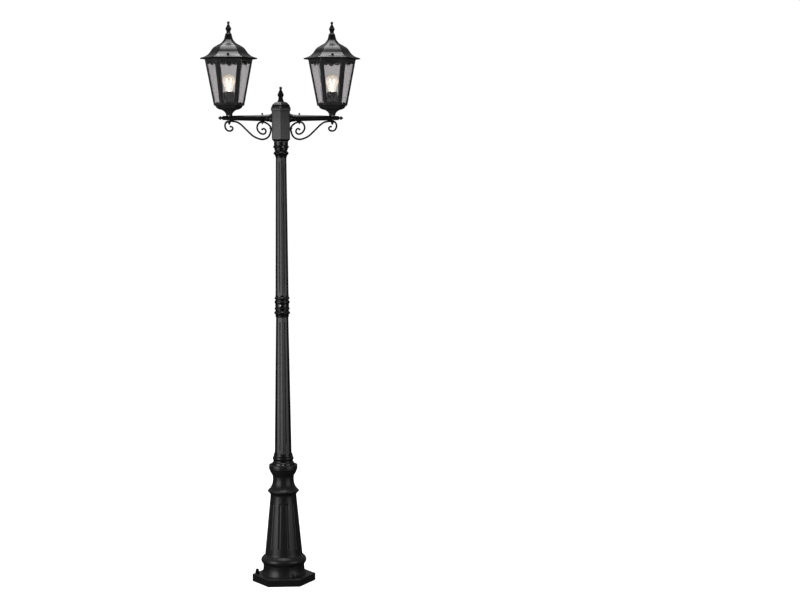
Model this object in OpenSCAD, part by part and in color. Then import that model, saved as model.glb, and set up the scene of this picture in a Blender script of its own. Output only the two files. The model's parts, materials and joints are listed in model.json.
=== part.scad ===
// Two-light garden lamp post: hexagonal base plate, fluted pedestal, two tapered octagonal
// shafts joined by turned collars, a hexagonal head with two arms, and a glazed lantern on each.
// Millimetres. +Z is up, the origin is the centre of the base plate's underside.

/* [Base] */
// Corner radius of the hexagonal base plate
plate_r = 127.5; // [120:0.5:135]
// Thickness of the base plate
plate_t = 30; // [26:1:34]
// Diameter of the circle through the three anchor bolts
bolt_circle_d = 216; // [210:1:220]
// Diameter of each anchor bolt hole
bolt_hole_d = 9; // [7:0.5:10]
// Diameter of the hole for the supply cable
cable_hole_d = 40; // [36:1:44]

/* [Pedestal] */
// Number of flutes round the pedestal's cone
flute_count = 12; // [8:2:14]
// Radius of the round tool shape that cuts a flute
flute_tool_r = 9; // [7:0.5:10]
// Depth of a flute at its middle
flute_depth = 3; // [2:0.5:4]

/* [Shafts] */
// Corner radius of the lower shaft where it enters the pedestal
lower_shaft_r0 = 36.2; // [35.8:0.1:36.4]
// Corner radius of the lower shaft under the middle collar
lower_shaft_r1 = 24.9; // [24.7:0.1:25.4]
// Corner radius of the upper shaft over the middle collar
upper_shaft_r0 = 26.4; // [26:0.1:26.8]
// Corner radius of the upper shaft under the top collar
upper_shaft_r1 = 21.4; // [21.3:0.1:21.6]
// Wall of both shafts
shaft_wall = 3.3; // [3:0.1:3.4]
// Width of the narrow groove along each shaft face
groove_w = 5; // [3:0.5:6]
// Depth of that groove
groove_depth = 1.6; // [1:0.1:1.8]

/* [Head and arms] */
// Half of the head box's width across its flats
head_apothem = 36.2; // [35.5:0.1:37]
// Wall of the head box
head_wall = 4; // [3:0.5:4.5]
// Distance from the post's axis to each lantern's axis
lantern_x = 204.5; // [198:0.5:212]
// Radius of an arm at its root, past the flared socket
arm_r0 = 13; // [12.5:0.1:13.5]
// Radius of an arm at its outer end
arm_r1 = 8.5; // [8:0.1:9]
// Thickness of the scroll's flat bar
scroll_t = 5.6; // [5:0.1:6]
// Depth of the scroll's flat bar, front to back
scroll_depth = 14; // [14:0.5:16]

/* [Lantern] */
// Corner radius of the glazed body at its foot
body_r0 = 60.6; // [59:0.1:62]
// Corner radius of the glazed body at its top
body_r1 = 94.2; // [92:0.1:96]
// Height of the glazed body
body_h = 177.4; // [174:0.2:180]
// Corner radius of the roof's eave
eave_r = 113.4; // [111:0.1:116]
// Width of each leg of the corner posts
post_leg = 11; // [8:0.5:12]
// Thickness of the posts and valances
frame_t = 2.5; // [2:0.1:3]
// Thickness of the glass panes
pane_t = 3; // [2:0.5:4]
// Diameter of the lampholder's ribbed skirt
holder_d = 44; // [42:1:46]
// Largest diameter of the bulb
bulb_d = 52; // [50:1:58]

/* [Hidden] */
$fn = 64;

// colours
black = "#2b2b2e";
black_metal = "#37373b";
steel = "#c9c9c6";
brass = "#c9a45a";
rubber = "#222222";
plastic = "#1c1c1e";
glass = "#c4c8c855";
clear = "#fff6e066";

// arm geometry: the socket's end and the tube's outer end, measured from the post's axis
socket_x = head_apothem + 23;
arm_end = lantern_x + 25.5;
arm_bore_r = 6;
strap_x = 73.5;
stem_r = 5;
stem_bore_r = 3.4;
bowl_neck_r = 13.2;

function arm_r(x) = arm_r0 + (arm_r1 - arm_r0) * (x - socket_x) / (arm_end - socket_x);

// heights, from the ground up
plate_chamfer = 2.5;
pedestal_z = plate_t;
socket_floor = pedestal_z + 370;
cup_floor = pedestal_z + 426;
lower_shaft_h = 674;
collar_z = socket_floor + lower_shaft_h;
collar_h = 88;
upper_shaft_z = collar_z + collar_h;
upper_shaft_h = 549;
top_collar_z = upper_shaft_z + upper_shaft_h;
top_collar_h = 64;
head_z = top_collar_z + top_collar_h;
head_h = 121;
gasket_t = 1.5;
cap_z = head_z + head_h + gasket_t;
arm_z = head_z + 94;
bowl_z = arm_z + arm_r(lantern_x - bowl_neck_r) + 0.05;
bowl_h = 41;
body_z = bowl_z + bowl_h;
rim_z = body_z + body_h;
rim_h = 4.3;
roof_z = rim_z + rim_h;
holder_z = body_z - 1.6;
holder_h = 55;

// half of the lathe-turned joints' running gaps
joint_gap = 0.2;
screw_r = 2.5;
overlap = 1;

// the glazed body's corner radius and its faces' lean
body_lean = atan((body_r1 - body_r0) * cos(30) / body_h);
function body_r(z) = body_r0 + (body_r1 - body_r0) * z / body_h;

// ---------------------------------------------------------------- outlines

// One point of a stretch between two outline points that swells sideways by the second one's bulge.
function swell(a, b, t) =
    let (d = [b[0] - a[0], b[1] - a[1]], long = norm(d), side = b[2] * sin(180 * t) / long)
    [a[0] + d[0] * t + d[1] * side, a[1] + d[1] * t - d[0] * side];

// An outline of [radius, height, bulge] points: a bulge above 0 makes a bead, below 0 a hollow.
function turned(points, steps = 6) = [
    for (i = [0 : len(points) - 1])
        each (i == 0 || points[i][2] == 0)
            ? [[points[i][0], points[i][1]]]
            : [for (k = [1 : steps]) swell(points[i - 1], points[i], k / steps)]
];

function reversed(list) = [for (i = [len(list) - 1 : -1 : 0]) list[i]];

// A turned solid with a plain bore, from its outline.
module turn(points, bore = 0) {
    outline = turned(points);
    top = outline[len(outline) - 1][1];
    foot = outline[0][1];
    rotate_extrude($fn = 96) polygon(concat([[bore, foot]], outline, [[bore, top]]));
}

// A flat-sided solid of revolution: the outline's radii are corner radii of n-sided rings.
module flat_sided(outline, n, turn_by = 0) {
    rings = len(outline);
    points = [
        for (ring = outline, k = [0 : n - 1])
            [ring[0] * cos(360 * k / n + turn_by), ring[0] * sin(360 * k / n + turn_by), ring[1]]
    ];
    sides = [
        for (i = [0 : rings - 2], k = [0 : n - 1])
            [i * n + k, (i + 1) * n + k, (i + 1) * n + (k + 1) % n, i * n + (k + 1) % n]
    ];
    foot = [for (k = [0 : n - 1]) k];
    top = [for (k = [n - 1 : -1 : 0]) (rings - 1) * n + k];
    polyhedron(points, concat([foot], sides, [top]));
}

// A radial screw that points at the post's axis: domed head outside, plain shank inward.
module radial_screw(r, z, head_r, head_h, shank_r, shank_in) {
    translate([0, 0, z]) rotate([0, 90, 0]) {
        translate([0, 0, r]) rotate_extrude($fn = 40)
            polygon(turned([[0, 0, 0], [head_r, 0, 0], [head_r, head_h * 0.4, 0],
                [0, head_h, head_h * 0.25]]));
        translate([0, 0, r - shank_in]) cylinder(r = shank_r, h = shank_in, $fn = 32);
    }
}

// ---------------------------------------------------------------- base

anchor_angles = [60, 180, 300];

module at_anchors() {
    for (a = anchor_angles) rotate([0, 0, a]) translate([bolt_circle_d / 2, 0, 0]) children();
}

module base_plate() {
    color(black) difference() {
        flat_sided([[plate_r - 1, 0], [plate_r, 1], [plate_r, plate_t - plate_chamfer],
                    [plate_r - plate_chamfer, plate_t]], 6);
        at_anchors() translate([0, 0, -overlap])
            cylinder(d = bolt_hole_d, h = plate_t + 2 * overlap);
        translate([0, 0, -overlap]) cylinder(d = cable_hole_d, h = plate_t + 2 * overlap);
    }
}

washer_t = 2;
anchor_stud_r = 4;

module anchor_washers() {
    color(black_metal) at_anchors() translate([0, 0, plate_t]) difference() {
        cylinder(r = 9.5, h = washer_t);
        translate([0, 0, -overlap]) cylinder(d = bolt_hole_d, h = washer_t + 2 * overlap);
    }
}

// Hexagonal nuts with a domed cap, hollow for the foundation studs.
module anchor_nuts() {
    nut_r = 8.2;
    flange_h = 10;
    color(black_metal) at_anchors() translate([0, 0, plate_t + washer_t]) difference() {
        union() {
            cylinder(r = nut_r, h = flange_h, $fn = 6);
            rotate_extrude($fn = 48) polygon(turned([[0, flange_h, 0], [7, flange_h, 0],
                [6.6, flange_h + 5, 0.2], [0, flange_h + 10, 1.8]]));
        }
        translate([0, 0, -overlap]) cylinder(r = anchor_stud_r, h = 14 + overlap, $fn = 40);
    }
}

grommet_bore_r = 7;
grommet_low = plate_t - 12;
module cable_grommet() {
    body_r = cable_hole_d / 2;
    color(rubber) rotate_extrude() polygon([
        [grommet_bore_r, grommet_low], [body_r - joint_gap, grommet_low],
        [body_r - joint_gap, plate_t], [body_r + 6, plate_t], [body_r + 4, plate_t + 4],
        [grommet_bore_r, plate_t + 4]
    ]);
}

cable_r = 4.5;
connector_z = plate_t + 60;
connector_size = [36, 26, 70];
module cable_connector() {
    color(plastic) translate([0, 0, connector_z]) {
        translate([-connector_size[0] / 2, -connector_size[1] / 2, 0]) cube(connector_size);
        translate([0, 0, connector_size[2]]) cylinder(r = 9, h = 12, $fn = 6);
        translate([0, 0, -12]) difference() {
            cylinder(r = 9, h = 12, $fn = 6);
            translate([0, 0, -overlap]) cylinder(r = cable_r + 0.5, h = 10 + overlap);
        }
    }
}

block_z = head_z + 26;
module feed_cable() {
    low = connector_z + connector_size[2] + 12;
    color(plastic) translate([0, 0, low]) cylinder(r = cable_r, h = block_z - low, $fn = 32);
}

// ---------------------------------------------------------------- pedestal

socket_r = lower_shaft_r0 + 0.4;
cup_inner_r = 50;
cup_r = 57.3;
cone_foot = [74.9, 90];
cone_top = [52.6, 319];

module pedestal_body() {
    outer = turned([
        [88.5, 0, 0], [88.5, 5, 0], [83, 36, -2], [83, 42, 0], [85, 44, 0], [85, 73, 7],
        [81, 76, 0], [75.2, 86, -1.5], [cone_foot[0], cone_foot[1], 0], [cone_top[0], cone_top[1], 0],
        [52.6, 325, 0], [58.5, 334, -1.2], [58.5, 347, 5], [56, 349, 0], [42.4, 386, -3.5],
        [42.4, 392, 0], [50, 413, -2.5], [53.5, 421, 0], [54, 424, 0], [cup_r, 430, 0],
        [cup_r, 445, 0], [cup_r - 1.5, 448, 0.3]
    ]);
    inner = [
        [cup_inner_r, 448], [cup_inner_r, 426], [socket_r, 426], [socket_r, 370], [24, 370],
        [24, 352], [45.5, 316], [67.5, 90], [77, 60], [77, 0]
    ];
    rotate_extrude($fn = 96) polygon(concat(outer, inner));
}

module flute() {
    lean = atan((cone_foot[0] - cone_top[0]) / (cone_top[1] - cone_foot[1]));
    stand_off = flute_tool_r - flute_depth;
    low = 109 + flute_tool_r;
    long = 187 - 2 * flute_tool_r;
    axis_r = cone_foot[0] - (low - cone_foot[1]) * tan(lean) + stand_off;
    translate([axis_r, 0, low]) rotate([0, -lean, 0]) {
        cylinder(r = flute_tool_r, h = long, $fn = 32);
        sphere(r = flute_tool_r, $fn = 32);
        translate([0, 0, long]) sphere(r = flute_tool_r, $fn = 32);
    }
}

cup_screw_angles = [30, 150, 270];
cup_screw_z = cup_floor + 24.5;

module pedestal() {
    color(black) translate([0, 0, pedestal_z]) difference() {
        pedestal_body();
        for (k = [0 : flute_count - 1])
            rotate([0, 0, 360 * (k + 0.5) / flute_count]) flute();
    }
}

// the land that the three ferrule screws are seated on, and the bore round the shaft
ferrule_land_r = 44.6;
ferrule_bore_r = lower_shaft_r0 - 0.7;
module lower_ferrule() {
    color(black) difference() {
        translate([0, 0, cup_floor]) turn([
            [48, 0, 0], [48, 14, 0], [ferrule_land_r, 16, 0], [ferrule_land_r, 29, 0], [43.2, 31, 0.2],
            [39.6, 37, -1], [39.6, 39, 0], [39.6, 55, 2.6], [38.4, 57, 0], [38.4, 61, 0], [37, 67, -0.4]
        ], ferrule_bore_r);
        for (a = cup_screw_angles) rotate([0, 0, a])
            translate([ferrule_bore_r - 1, 0, cup_screw_z]) rotate([0, 90, 0])
            cylinder(r = screw_r, h = ferrule_land_r - ferrule_bore_r + 2);
    }
}

module cup_screws() {
    color(steel) for (a = cup_screw_angles) rotate([0, 0, a])
        radial_screw(ferrule_land_r, cup_screw_z, 4, 2.8, screw_r, ferrule_land_r - ferrule_bore_r - 0.3);
}

// ---------------------------------------------------------------- shafts and collars

// A tapered octagonal tube with a round-ended groove down the middle of each face.
module shaft(r0, r1, h, groove_low, groove_high) {
    face = cos(22.5);
    lean = atan((r0 - r1) * face / h);
    long = groove_high - groove_low - groove_w;
    difference() {
        flat_sided([[r0, 0], [r1, h]], 8);
        flat_sided([[r0 - shaft_wall + 0.02, -overlap], [r1 - shaft_wall, h + overlap]], 8);
        for (k = [0 : 7]) rotate([0, 0, 45 * k + 22.5])
            translate([(r0 - (r0 - r1) * (groove_low + groove_w / 2) / h) * face - groove_depth, 0,
                       groove_low + groove_w / 2])
            rotate([0, -lean, 0]) {
                translate([0, -groove_w / 2, 0]) cube([groove_w, groove_w, long]);
                for (z = [0, long]) translate([0, 0, z]) rotate([0, 90, 0])
                    cylinder(d = groove_w, h = groove_w, $fn = 24);
            }
    }
}

module lower_shaft() {
    color(black) translate([0, 0, socket_floor])
        shaft(lower_shaft_r0, lower_shaft_r1, lower_shaft_h, 135, 656);
}

module upper_shaft() {
    color(black) translate([0, 0, upper_shaft_z])
        shaft(upper_shaft_r0, upper_shaft_r1, upper_shaft_h, 13, 533);
}

sleeve_r = (lower_shaft_r1 - shaft_wall) * cos(22.5) - 0.3;
sleeve_low = collar_z - 56;
sleeve_high = upper_shaft_z + 60;
module joint_sleeve() {
    color(steel) translate([0, 0, sleeve_low]) difference() {
        cylinder(r = sleeve_r, h = sleeve_high - sleeve_low);
        translate([0, 0, -overlap])
            cylinder(r = sleeve_r - 3, h = sleeve_high - sleeve_low + 2 * overlap);
        for (a = middle_screw_angles) rotate([0, 0, a])
            translate([sleeve_r - 4, 0, middle_screw_z - sleeve_low]) rotate([0, 90, 0])
            cylinder(r = screw_r, h = 6, $fn = 32);
    }
}

middle_screw_angles = [75, 255];
middle_screw_z = collar_z + 48;
middle_collar_waist = 27.6;
module middle_collar() {
    color(black) difference() {
        translate([0, 0, collar_z]) turn([
            [25.6, 0, 0], [26.8, 3, 0], [26.8, 10, 0], [27.5, 11.5, 0], [27.5, 24.5, 4.7],
            [26.9, 26, 0], [26.9, 29, 0], [29.9, 32, 0], [29.9, 37, 0.5],
            [middle_collar_waist, 44, -0.6], [middle_collar_waist, 52, 0], [29.9, 58, -0.6],
            [29.9, 65, 0.4], [26.6, 68, 0], [26.6, 71, 0], [27.5, 72, 0], [27.5, 81, 3.2],
            [27.3, 83, 0], [27, 88, 0]
        ], sleeve_r + 0.1);
        for (a = middle_screw_angles) rotate([0, 0, a])
            translate([sleeve_r - 1, 0, middle_screw_z]) rotate([0, 90, 0])
            cylinder(r = screw_r, h = 12, $fn = 32);
    }
}

module middle_collar_screws() {
    color(steel) for (a = middle_screw_angles) rotate([0, 0, a])
        radial_screw(middle_collar_waist, middle_screw_z, 4.2, 2.4, screw_r, 12);
}

top_bore_r = 11;
head_spigot_r = 20;
spigot_socket_z = 26;
top_screw_angles = [45, 165, 285];
top_screw_z = top_collar_z + 44;
top_bead_r = 31.4;
module top_collar() {
    spigot_r = (upper_shaft_r1 - shaft_wall) * cos(22.5) - 0.3;
    color(black) difference() {
        translate([0, 0, top_collar_z]) union() {
            turn([
                [21.6, 0, 0], [22.8, 4, -0.3], [26, 12, -0.4], [26, 25, 4.6], [24.4, 27.5, 0],
                [24.4, 29, 0], [27.1, 33, -0.3], [27.1, 37, 0], [27.8, 38.5, 0],
                [27.8, 49.5, top_bead_r - 27.8], [28.3, 51, 0], [28.4, top_collar_h, 0]
            ], top_bore_r);
            translate([0, 0, -50]) turn([[spigot_r, 0, 0], [spigot_r, 50 + overlap, 0]], top_bore_r);
        }
        translate([0, 0, top_collar_z + spigot_socket_z])
            cylinder(r = head_spigot_r + 0.1, h = top_collar_h);
        for (a = top_screw_angles) rotate([0, 0, a])
            translate([head_spigot_r - 2, 0, top_screw_z]) rotate([0, 90, 0])
            cylinder(r = screw_r - 0.5, h = 16, $fn = 32);
    }
}

module top_collar_screws() {
    color(steel) for (a = top_screw_angles) rotate([0, 0, a])
        radial_screw(top_bead_r - 0.1, top_screw_z, 3, 1.6, screw_r - 0.5, top_bead_r - head_spigot_r - 0.3);
}

// ---------------------------------------------------------------- head

corner = 1 / cos(30);
head_floor = 13;
scroll_screw_z = head_z + 54;

module head_box() {
    inner = head_apothem - head_wall;
    color(black) difference() {
        union() {
            translate([0, 0, head_z]) difference() {
                flat_sided([[28.4 * corner, 0], [28.6 * corner, 1.5], [head_apothem * corner, 9.5],
                            [head_apothem * corner, head_h]], 6, 30);
                translate([0, 0, head_floor]) rotate([0, 0, 30])
                    cylinder(r = inner * corner, h = head_h, $fn = 6);
            }
            translate([0, 0, top_collar_z + spigot_socket_z + 1])
                cylinder(r = head_spigot_r, h = top_collar_h - spigot_socket_z);
        }
        translate([0, 0, top_collar_z]) cylinder(r = 12, h = top_collar_h + 20);
        for (side = [-1, 1]) {
            translate([0, 0, arm_z]) rotate([0, 90 * side, 0]) cylinder(r = 10, h = head_apothem + 2);
            translate([side * 28, 0, scroll_screw_z]) rotate([0, 90 * side, 0])
                cylinder(r = 2, h = 12, $fn = 32);
        }
    }
}

module head_gasket() {
    color(rubber) translate([0, 0, head_z + head_h]) difference() {
        rotate([0, 0, 30]) cylinder(r = head_apothem * corner - 0.4, h = gasket_t, $fn = 6);
        translate([0, 0, -overlap]) rotate([0, 0, 30])
            cylinder(r = (head_apothem - head_wall) * corner, h = gasket_t + 2 * overlap, $fn = 6);
    }
}

cap_top = 36.5;
finial_stud_r = 4;
module head_cap() {
    k = corner;
    color(black) difference() {
        translate([0, 0, cap_z]) {
            difference() {
                flat_sided(turned([[38.2 * k, 0, 0], [39 * k, 3, 0.3], [39 * k, 11.5, 0.2],
                    [36.4 * k, 15, 0.2], [30 * k, 27, 1.8], [16 * k, cap_top - 1, 2],
                    [13 * k, cap_top, 0]], 4), 6, 30);
                translate([0, 0, -overlap]) flat_sided([[34 * k, 0], [34 * k, 14], [27 * k, 24],
                    [14 * k, 32]], 6, 30);
            }
            // locating skirt inside the box
            difference() {
                translate([0, 0, -8]) rotate([0, 0, 30])
                    cylinder(r = (head_apothem - head_wall - 0.5) * k, h = 14, $fn = 6);
                translate([0, 0, -9]) rotate([0, 0, 30])
                    cylinder(r = (head_apothem - head_wall - 3) * k, h = 16, $fn = 6);
            }
            difference() {
                translate([0, 0, 4]) rotate([0, 0, 30]) cylinder(r = 34.5 * k, h = 3, $fn = 6);
                translate([0, 0, 3]) rotate([0, 0, 30])
                    cylinder(r = (head_apothem - head_wall - 3) * k, h = 5, $fn = 6);
            }
        }
        translate([0, 0, cap_z]) cylinder(r = finial_stud_r + 0.1, h = 60);
    }
}

// Faceted diamond with a small ball, on a flared foot.
module finial(foot_r, neck_r, diamond_r, tip_r, levels, ball_r) {
    flat_sided(turned([[foot_r, 0, 0], [neck_r, levels[0], -0.8], [diamond_r, levels[1], -0.4],
        [diamond_r, levels[1] + 1.5, 0], [tip_r, levels[2], 0], [tip_r, levels[2] + 2, 0]], 4), 8, 22.5);
    translate([0, 0, levels[2] + 1.5 + ball_r * 0.85]) sphere(r = ball_r, $fn = 32);
}

module head_finial() {
    color(black) translate([0, 0, cap_z + cap_top]) {
        finial(13.5, 9.3, 13.8, 4.6, [16, 25.5, 47], 6);
        translate([0, 0, -18]) cylinder(r = finial_stud_r, h = 18 + overlap, $fn = 32);
    }
}

block_size = [42, 24, 20];
module terminal_block() {
    color("ivory") difference() {
        union() {
            translate([-block_size[0] / 2, -block_size[1] / 2, block_z]) cube(block_size);
            for (x = [-17, 17]) translate([x, 0, head_z + head_floor])
                cylinder(r = 3.5, h = block_z - head_z - head_floor + overlap);
        }
        for (x = terminal_x) translate([x, 0, block_z + block_size[2] - 8])
            cylinder(r = 2.7, h = 9, $fn = 32);
    }
}

terminal_x = [-14, -7, 0, 7, 14];
module terminal_screws() {
    color(brass) for (x = terminal_x) translate([x, 0, block_z + block_size[2] - 8])
        cylinder(r = 2.6, h = 6, $fn = 32);
}

// ---------------------------------------------------------------- arms

// Runs its children on both sides of the post, the drawn side being the right one (+X).
module both_sides() {
    children();
    mirror([1, 0, 0]) children();
}

module arm() {
    difference() {
        rotate([0, 90, 0]) rotate_extrude($fn = 64) polygon(concat(
            [[arm_bore_r, 26]],
            turned([
                [9.9, 26, 0], [9.9, head_apothem, 0], [18.2, head_apothem, 0],
                [18.2, head_apothem + 2.5, 0], [16.6, head_apothem + 4, 0], [arm_r0 + 1.2, socket_x - 4, -1],
                [arm_r0, socket_x, -0.3], [arm_r1, arm_end, 0]
            ]),
            [[arm_bore_r, arm_end]]
        ));
        translate([lantern_x, 0, -20]) cylinder(r = stem_r + 0.1, h = 40, $fn = 48);
    }
}

module right_arm() {
    color(black) translate([0, 0, arm_z]) arm();
}

module left_arm() {
    color(black) translate([0, 0, arm_z]) mirror([1, 0, 0]) arm();
}

module arm_tips() {
    color(black) both_sides() translate([arm_end, 0, arm_z]) rotate([0, 90, 0]) {
        flat_sided([[7.5, 0], [7, 1.5], [4.2, 3], [8.4, 9], [8.4, 10], [0.6, 18.5]], 8, 22.5);
        translate([0, 0, -12]) cylinder(r = arm_bore_r - 0.1, h = 12 + overlap);
    }
}

module arm_nuts() {
    inner = head_apothem - head_wall;
    color(steel) both_sides() translate([inner - 5.5, 0, arm_z]) rotate([0, 90, 0]) difference() {
        cylinder(r = 14.5, h = 5.5, $fn = 6);
        translate([0, 0, -overlap]) cylinder(r = 9.9, h = 8);
    }
}

scroll_at_stem = -12.5;

// Centre line of the right scroll: [x, height over the arm's axis]. It runs from the small volute by
// the post, round under the arm, along the sweeping bar, and into the volute under the lantern.
scroll_line = [
    [74, -45], [69, -41.5], [62.5, -45], [59.5, -53], [63, -60.5], [71, -63.5], [82, -60],
    [91, -50], [94.5, -38], [91.5, -26], [84, -17.8], [74, -15.6], [63, -17.5], [52, -23.5],
    [44, -31], [39.9, -38], [39.6, -44], [40.6, -53], [44.5, -66], [53, -77.5], [68, -84],
    [82, -83.5], [98, -78], [115, -67.5], [139, -44.5], [158, -26], [174, -16.2], [189, -13.2],
    [200, scroll_at_stem], [208, -12.6], [215.5, -16.5], [220.5, -24.5], [221, -35],
    [216.5, -45], [209, -50.5], [201, -51], [194, -48], [190.5, -41.5], [193, -35.5], [199, -34]
];

// Catmull-Rom curve through the points, with end points repeated.
function curve_point(p, i, t) =
    let (n = len(p) - 1, a = p[max(i - 1, 0)], b = p[i], c = p[min(i + 1, n)], d = p[min(i + 2, n)])
    0.5 * (2 * b + (c - a) * t + (2 * a - 5 * b + 4 * c - d) * t * t + (3 * b - 3 * c + d - a) * t * t * t);
function smooth(p, steps) = [
    for (i = [0 : len(p) - 2], k = [0 : steps - 1]) curve_point(p, i, k / steps),
    p[len(p) - 1]
];
function side_step(p, i, half) =
    let (a = p[max(i - 1, 0)], b = p[min(i + 1, len(p) - 1)], d = b - a)
    p[i] + half * [-d[1], d[0]] / norm(d);

module scroll_band(thick, depth) {
    line = smooth(scroll_line, 3);
    last = len(line) - 1;
    rotate([90, 0, 0]) translate([0, 0, -depth / 2]) linear_extrude(depth) polygon(concat(
        [for (i = [0 : last]) side_step(line, i, thick / 2)],
        [for (i = [last : -1 : 0]) side_step(line, i, -thick / 2)]
    ));
}

// where the pyramid heads sit against the bar, and the pointed nuts under it
scroll_head_gap = 5.9;
stem_nut_r = 6.4;
nut_top = scroll_at_stem - scroll_t / 2;

module scroll() {
    difference() {
        scroll_band(scroll_t, scroll_depth);
        translate([lantern_x, 0, 0]) {
            translate([0, 0, -20]) cylinder(r = stem_r + 0.1, h = 12, $fn = 48);
            translate([0, 0, nut_top - 10]) cylinder(r = stem_nut_r + 0.2, h = 10, $fn = 48);
        }
        translate([0, 0, scroll_screw_z - arm_z]) rotate([0, 90, 0]) {
            translate([0, 0, head_apothem - 1]) cylinder(r = 2.1, h = 10, $fn = 32);
            translate([0, 0, head_apothem + scroll_head_gap]) cylinder(r = 5, h = 6, $fn = 32);
        }
    }
}

module right_scroll() {
    color(black) translate([0, 0, arm_z]) scroll();
}

module left_scroll() {
    color(black) translate([0, 0, arm_z]) mirror([1, 0, 0]) scroll();
}

// Screws with a small pyramid head that hold the scrolls to the head box.
module scroll_screws() {
    color(black_metal) both_sides() translate([0, 0, scroll_screw_z]) rotate([0, 90, 0]) {
        translate([0, 0, head_apothem + scroll_head_gap + 0.1])
            flat_sided([[4.6, 0], [4.6, 1.2], [0.5, 5]], 4, 45);
        translate([0, 0, 29]) cylinder(r = 1.9, h = head_apothem + scroll_head_gap + 0.2 - 29, $fn = 32);
    }
}

// Clamp that holds the scroll up against the arm, with a pointed nib over and under it.
module arm_straps() {
    wide = 7;
    r = arm_r(strap_x);
    color(black) both_sides() translate([strap_x, 0, arm_z]) difference() {
        union() {
            rotate([0, 90, 0]) translate([0, 0, -wide / 2]) cylinder(r = r + 2.2, h = wide);
            translate([-wide / 2, -scroll_depth / 2 - 2.2, -r - 8.5])
                cube([wide, scroll_depth + 4.4, 12]);
            translate([0, 0, r]) cylinder(r1 = 5, r2 = 0.5, h = 9, $fn = 48);
            translate([0, 0, -r - 13]) cylinder(r1 = 0.5, r2 = 4, h = 5, $fn = 48);
        }
        rotate([0, 90, 0]) translate([0, 0, -wide]) cylinder(r1 = arm_r(strap_x - wide) + 0.05,
            r2 = arm_r(strap_x + wide) + 0.05, h = 2 * wide, $fn = 64);
        translate([-strap_x, 0, 0]) scroll_band(scroll_t + 0.1, scroll_depth + 0.1);
    }
}

// ---------------------------------------------------------------- lantern

// Runs its children at a lantern's axis; side is -1 for the left lantern and 1 for the right.
module at_lantern(side, z) {
    translate([side * lantern_x, 0, z]) children();
}

module stem_nuts() {
    color(black_metal) for (side = [-1, 1]) at_lantern(side, arm_z + nut_top) difference() {
        rotate_extrude($fn = 48)
            polygon(turned([[0, -12.5, 0], [1, -12.5, 0], [stem_nut_r, -4.5, 0.6],
                [stem_nut_r, -0.1, 0], [0, -0.1, 0]]));
        translate([0, 0, -5]) cylinder(r = stem_r + 0.1, h = 6, $fn = 48);
    }
}

stem_high = holder_z + 4;
module stem(side) {
    low = arm_z + nut_top - 4.5;
    color(steel) at_lantern(side, low) difference() {
        cylinder(r = stem_r, h = stem_high - low, $fn = 48);
        translate([0, 0, -overlap]) cylinder(r = stem_bore_r, h = stem_high - low + 2 * overlap, $fn = 48);
        translate([0, 0, arm_z - low + 0.8]) rotate([0, -90 * side, 0])
            cylinder(r = stem_bore_r, h = 12, $fn = 48);
    }
}

// Corner-radius outlines of the hexagonal bowl.
bowl_outer = [
    [bowl_neck_r, 0, 0], [bowl_neck_r, 5, 0], [14.6, 9, 0], [27, 20.6, -1.2], [37.5, 23.6, -0.6],
    [47, 28.1, 0.3], [53.4, 36.6, 1], [57, bowl_h - 2.6, -0.4], [60.6, bowl_h - 0.6, 0], [60.6, bowl_h, 0]
];
bowl_inner = [
    [50, bowl_h + 1, 0], [50, 38.6, 0], [47, 34.6, 0.4], [41, 30.6, 0.3], [20, 25.6, 0], [10, 20.6, 0]
];
module bowl(side) {
    color(black) at_lantern(side, bowl_z) difference() {
        flat_sided(turned(bowl_outer, 4), 6);
        flat_sided(reversed(turned(bowl_inner, 3)), 6);
        translate([0, 0, -overlap]) cylinder(r = stem_r + 0.1, h = 30, $fn = 48);
    }
}

// Runs its children on each face of the glazed body, with X outward, Y along and Z up the face.
module on_faces() {
    for (k = [0 : 5]) rotate([0, 0, 60 * k + 30]) translate([body_r0 * cos(30), 0, 0])
        rotate([0, body_lean, 0]) children();
}

body_slant = body_h / cos(body_lean);

// A plate on a face: an outline of [along, up] points, and its depth range behind the outer plane.
module face_plate(outline, from, to) {
    translate([-to, 0, 0]) rotate([90, 0, 90]) linear_extrude(to - from) polygon(outline);
}

function face_half(up) = body_r(up * cos(body_lean)) / 2;

module body_shell(inset, thick, low, high) {
    difference() {
        flat_sided([[body_r(low) - inset * corner, low], [body_r(high) - inset * corner, high]], 6);
        flat_sided([[body_r(low - 1) - (inset + thick) * corner, low - 1],
                    [body_r(high + 1) - (inset + thick) * corner, high + 1]], 6);
    }
}

module corner_posts(side) {
    color(black) at_lantern(side, body_z) difference() {
        body_shell(0, frame_t, 0, body_h);
        on_faces() face_plate([
            [-face_half(-5) + post_leg, -5], [face_half(-5) - post_leg, -5],
            [face_half(body_slant + 5) - post_leg, body_slant + 5],
            [-face_half(body_slant + 5) + post_leg, body_slant + 5]
        ], -4, frame_t + 6);
    }
}

module panes(side) {
    edge = 4.5;
    low = 1;
    high = body_slant - 1.2;
    color(glass) at_lantern(side, body_z) on_faces() face_plate([
        [-face_half(low) + edge, low], [face_half(low) - edge, low],
        [face_half(high) - edge, high], [-face_half(high) + edge, high]
    ], frame_t + 0.1, frame_t + 0.1 + pane_t);
}

// Edge of a row of lobes from one side of a pane to the other.
function lobed(half, base, side_drop, middle_drop, steps = 8) = [
    for (k = [0 : 3 * steps])
        let (u = k / steps, lobe = floor(min(u, 2.999)), t = u - lobe,
             drop = lobe == 1 ? middle_drop : side_drop)
        [-half + 2 * half * k / (3 * steps), base + drop * sin(180 * t)]
];

module lower_valance(side) {
    foot = 0.6;
    base = 6;
    half = face_half(base) - post_leg - 0.1;
    foot_half = face_half(foot) - post_leg - 0.1;
    color(black) at_lantern(side, body_z) on_faces() face_plate(concat(
        [[foot_half, foot], [-foot_half, foot]], lobed(half, base, 2.5, 6)
    ), 0.2, frame_t);
}

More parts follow.
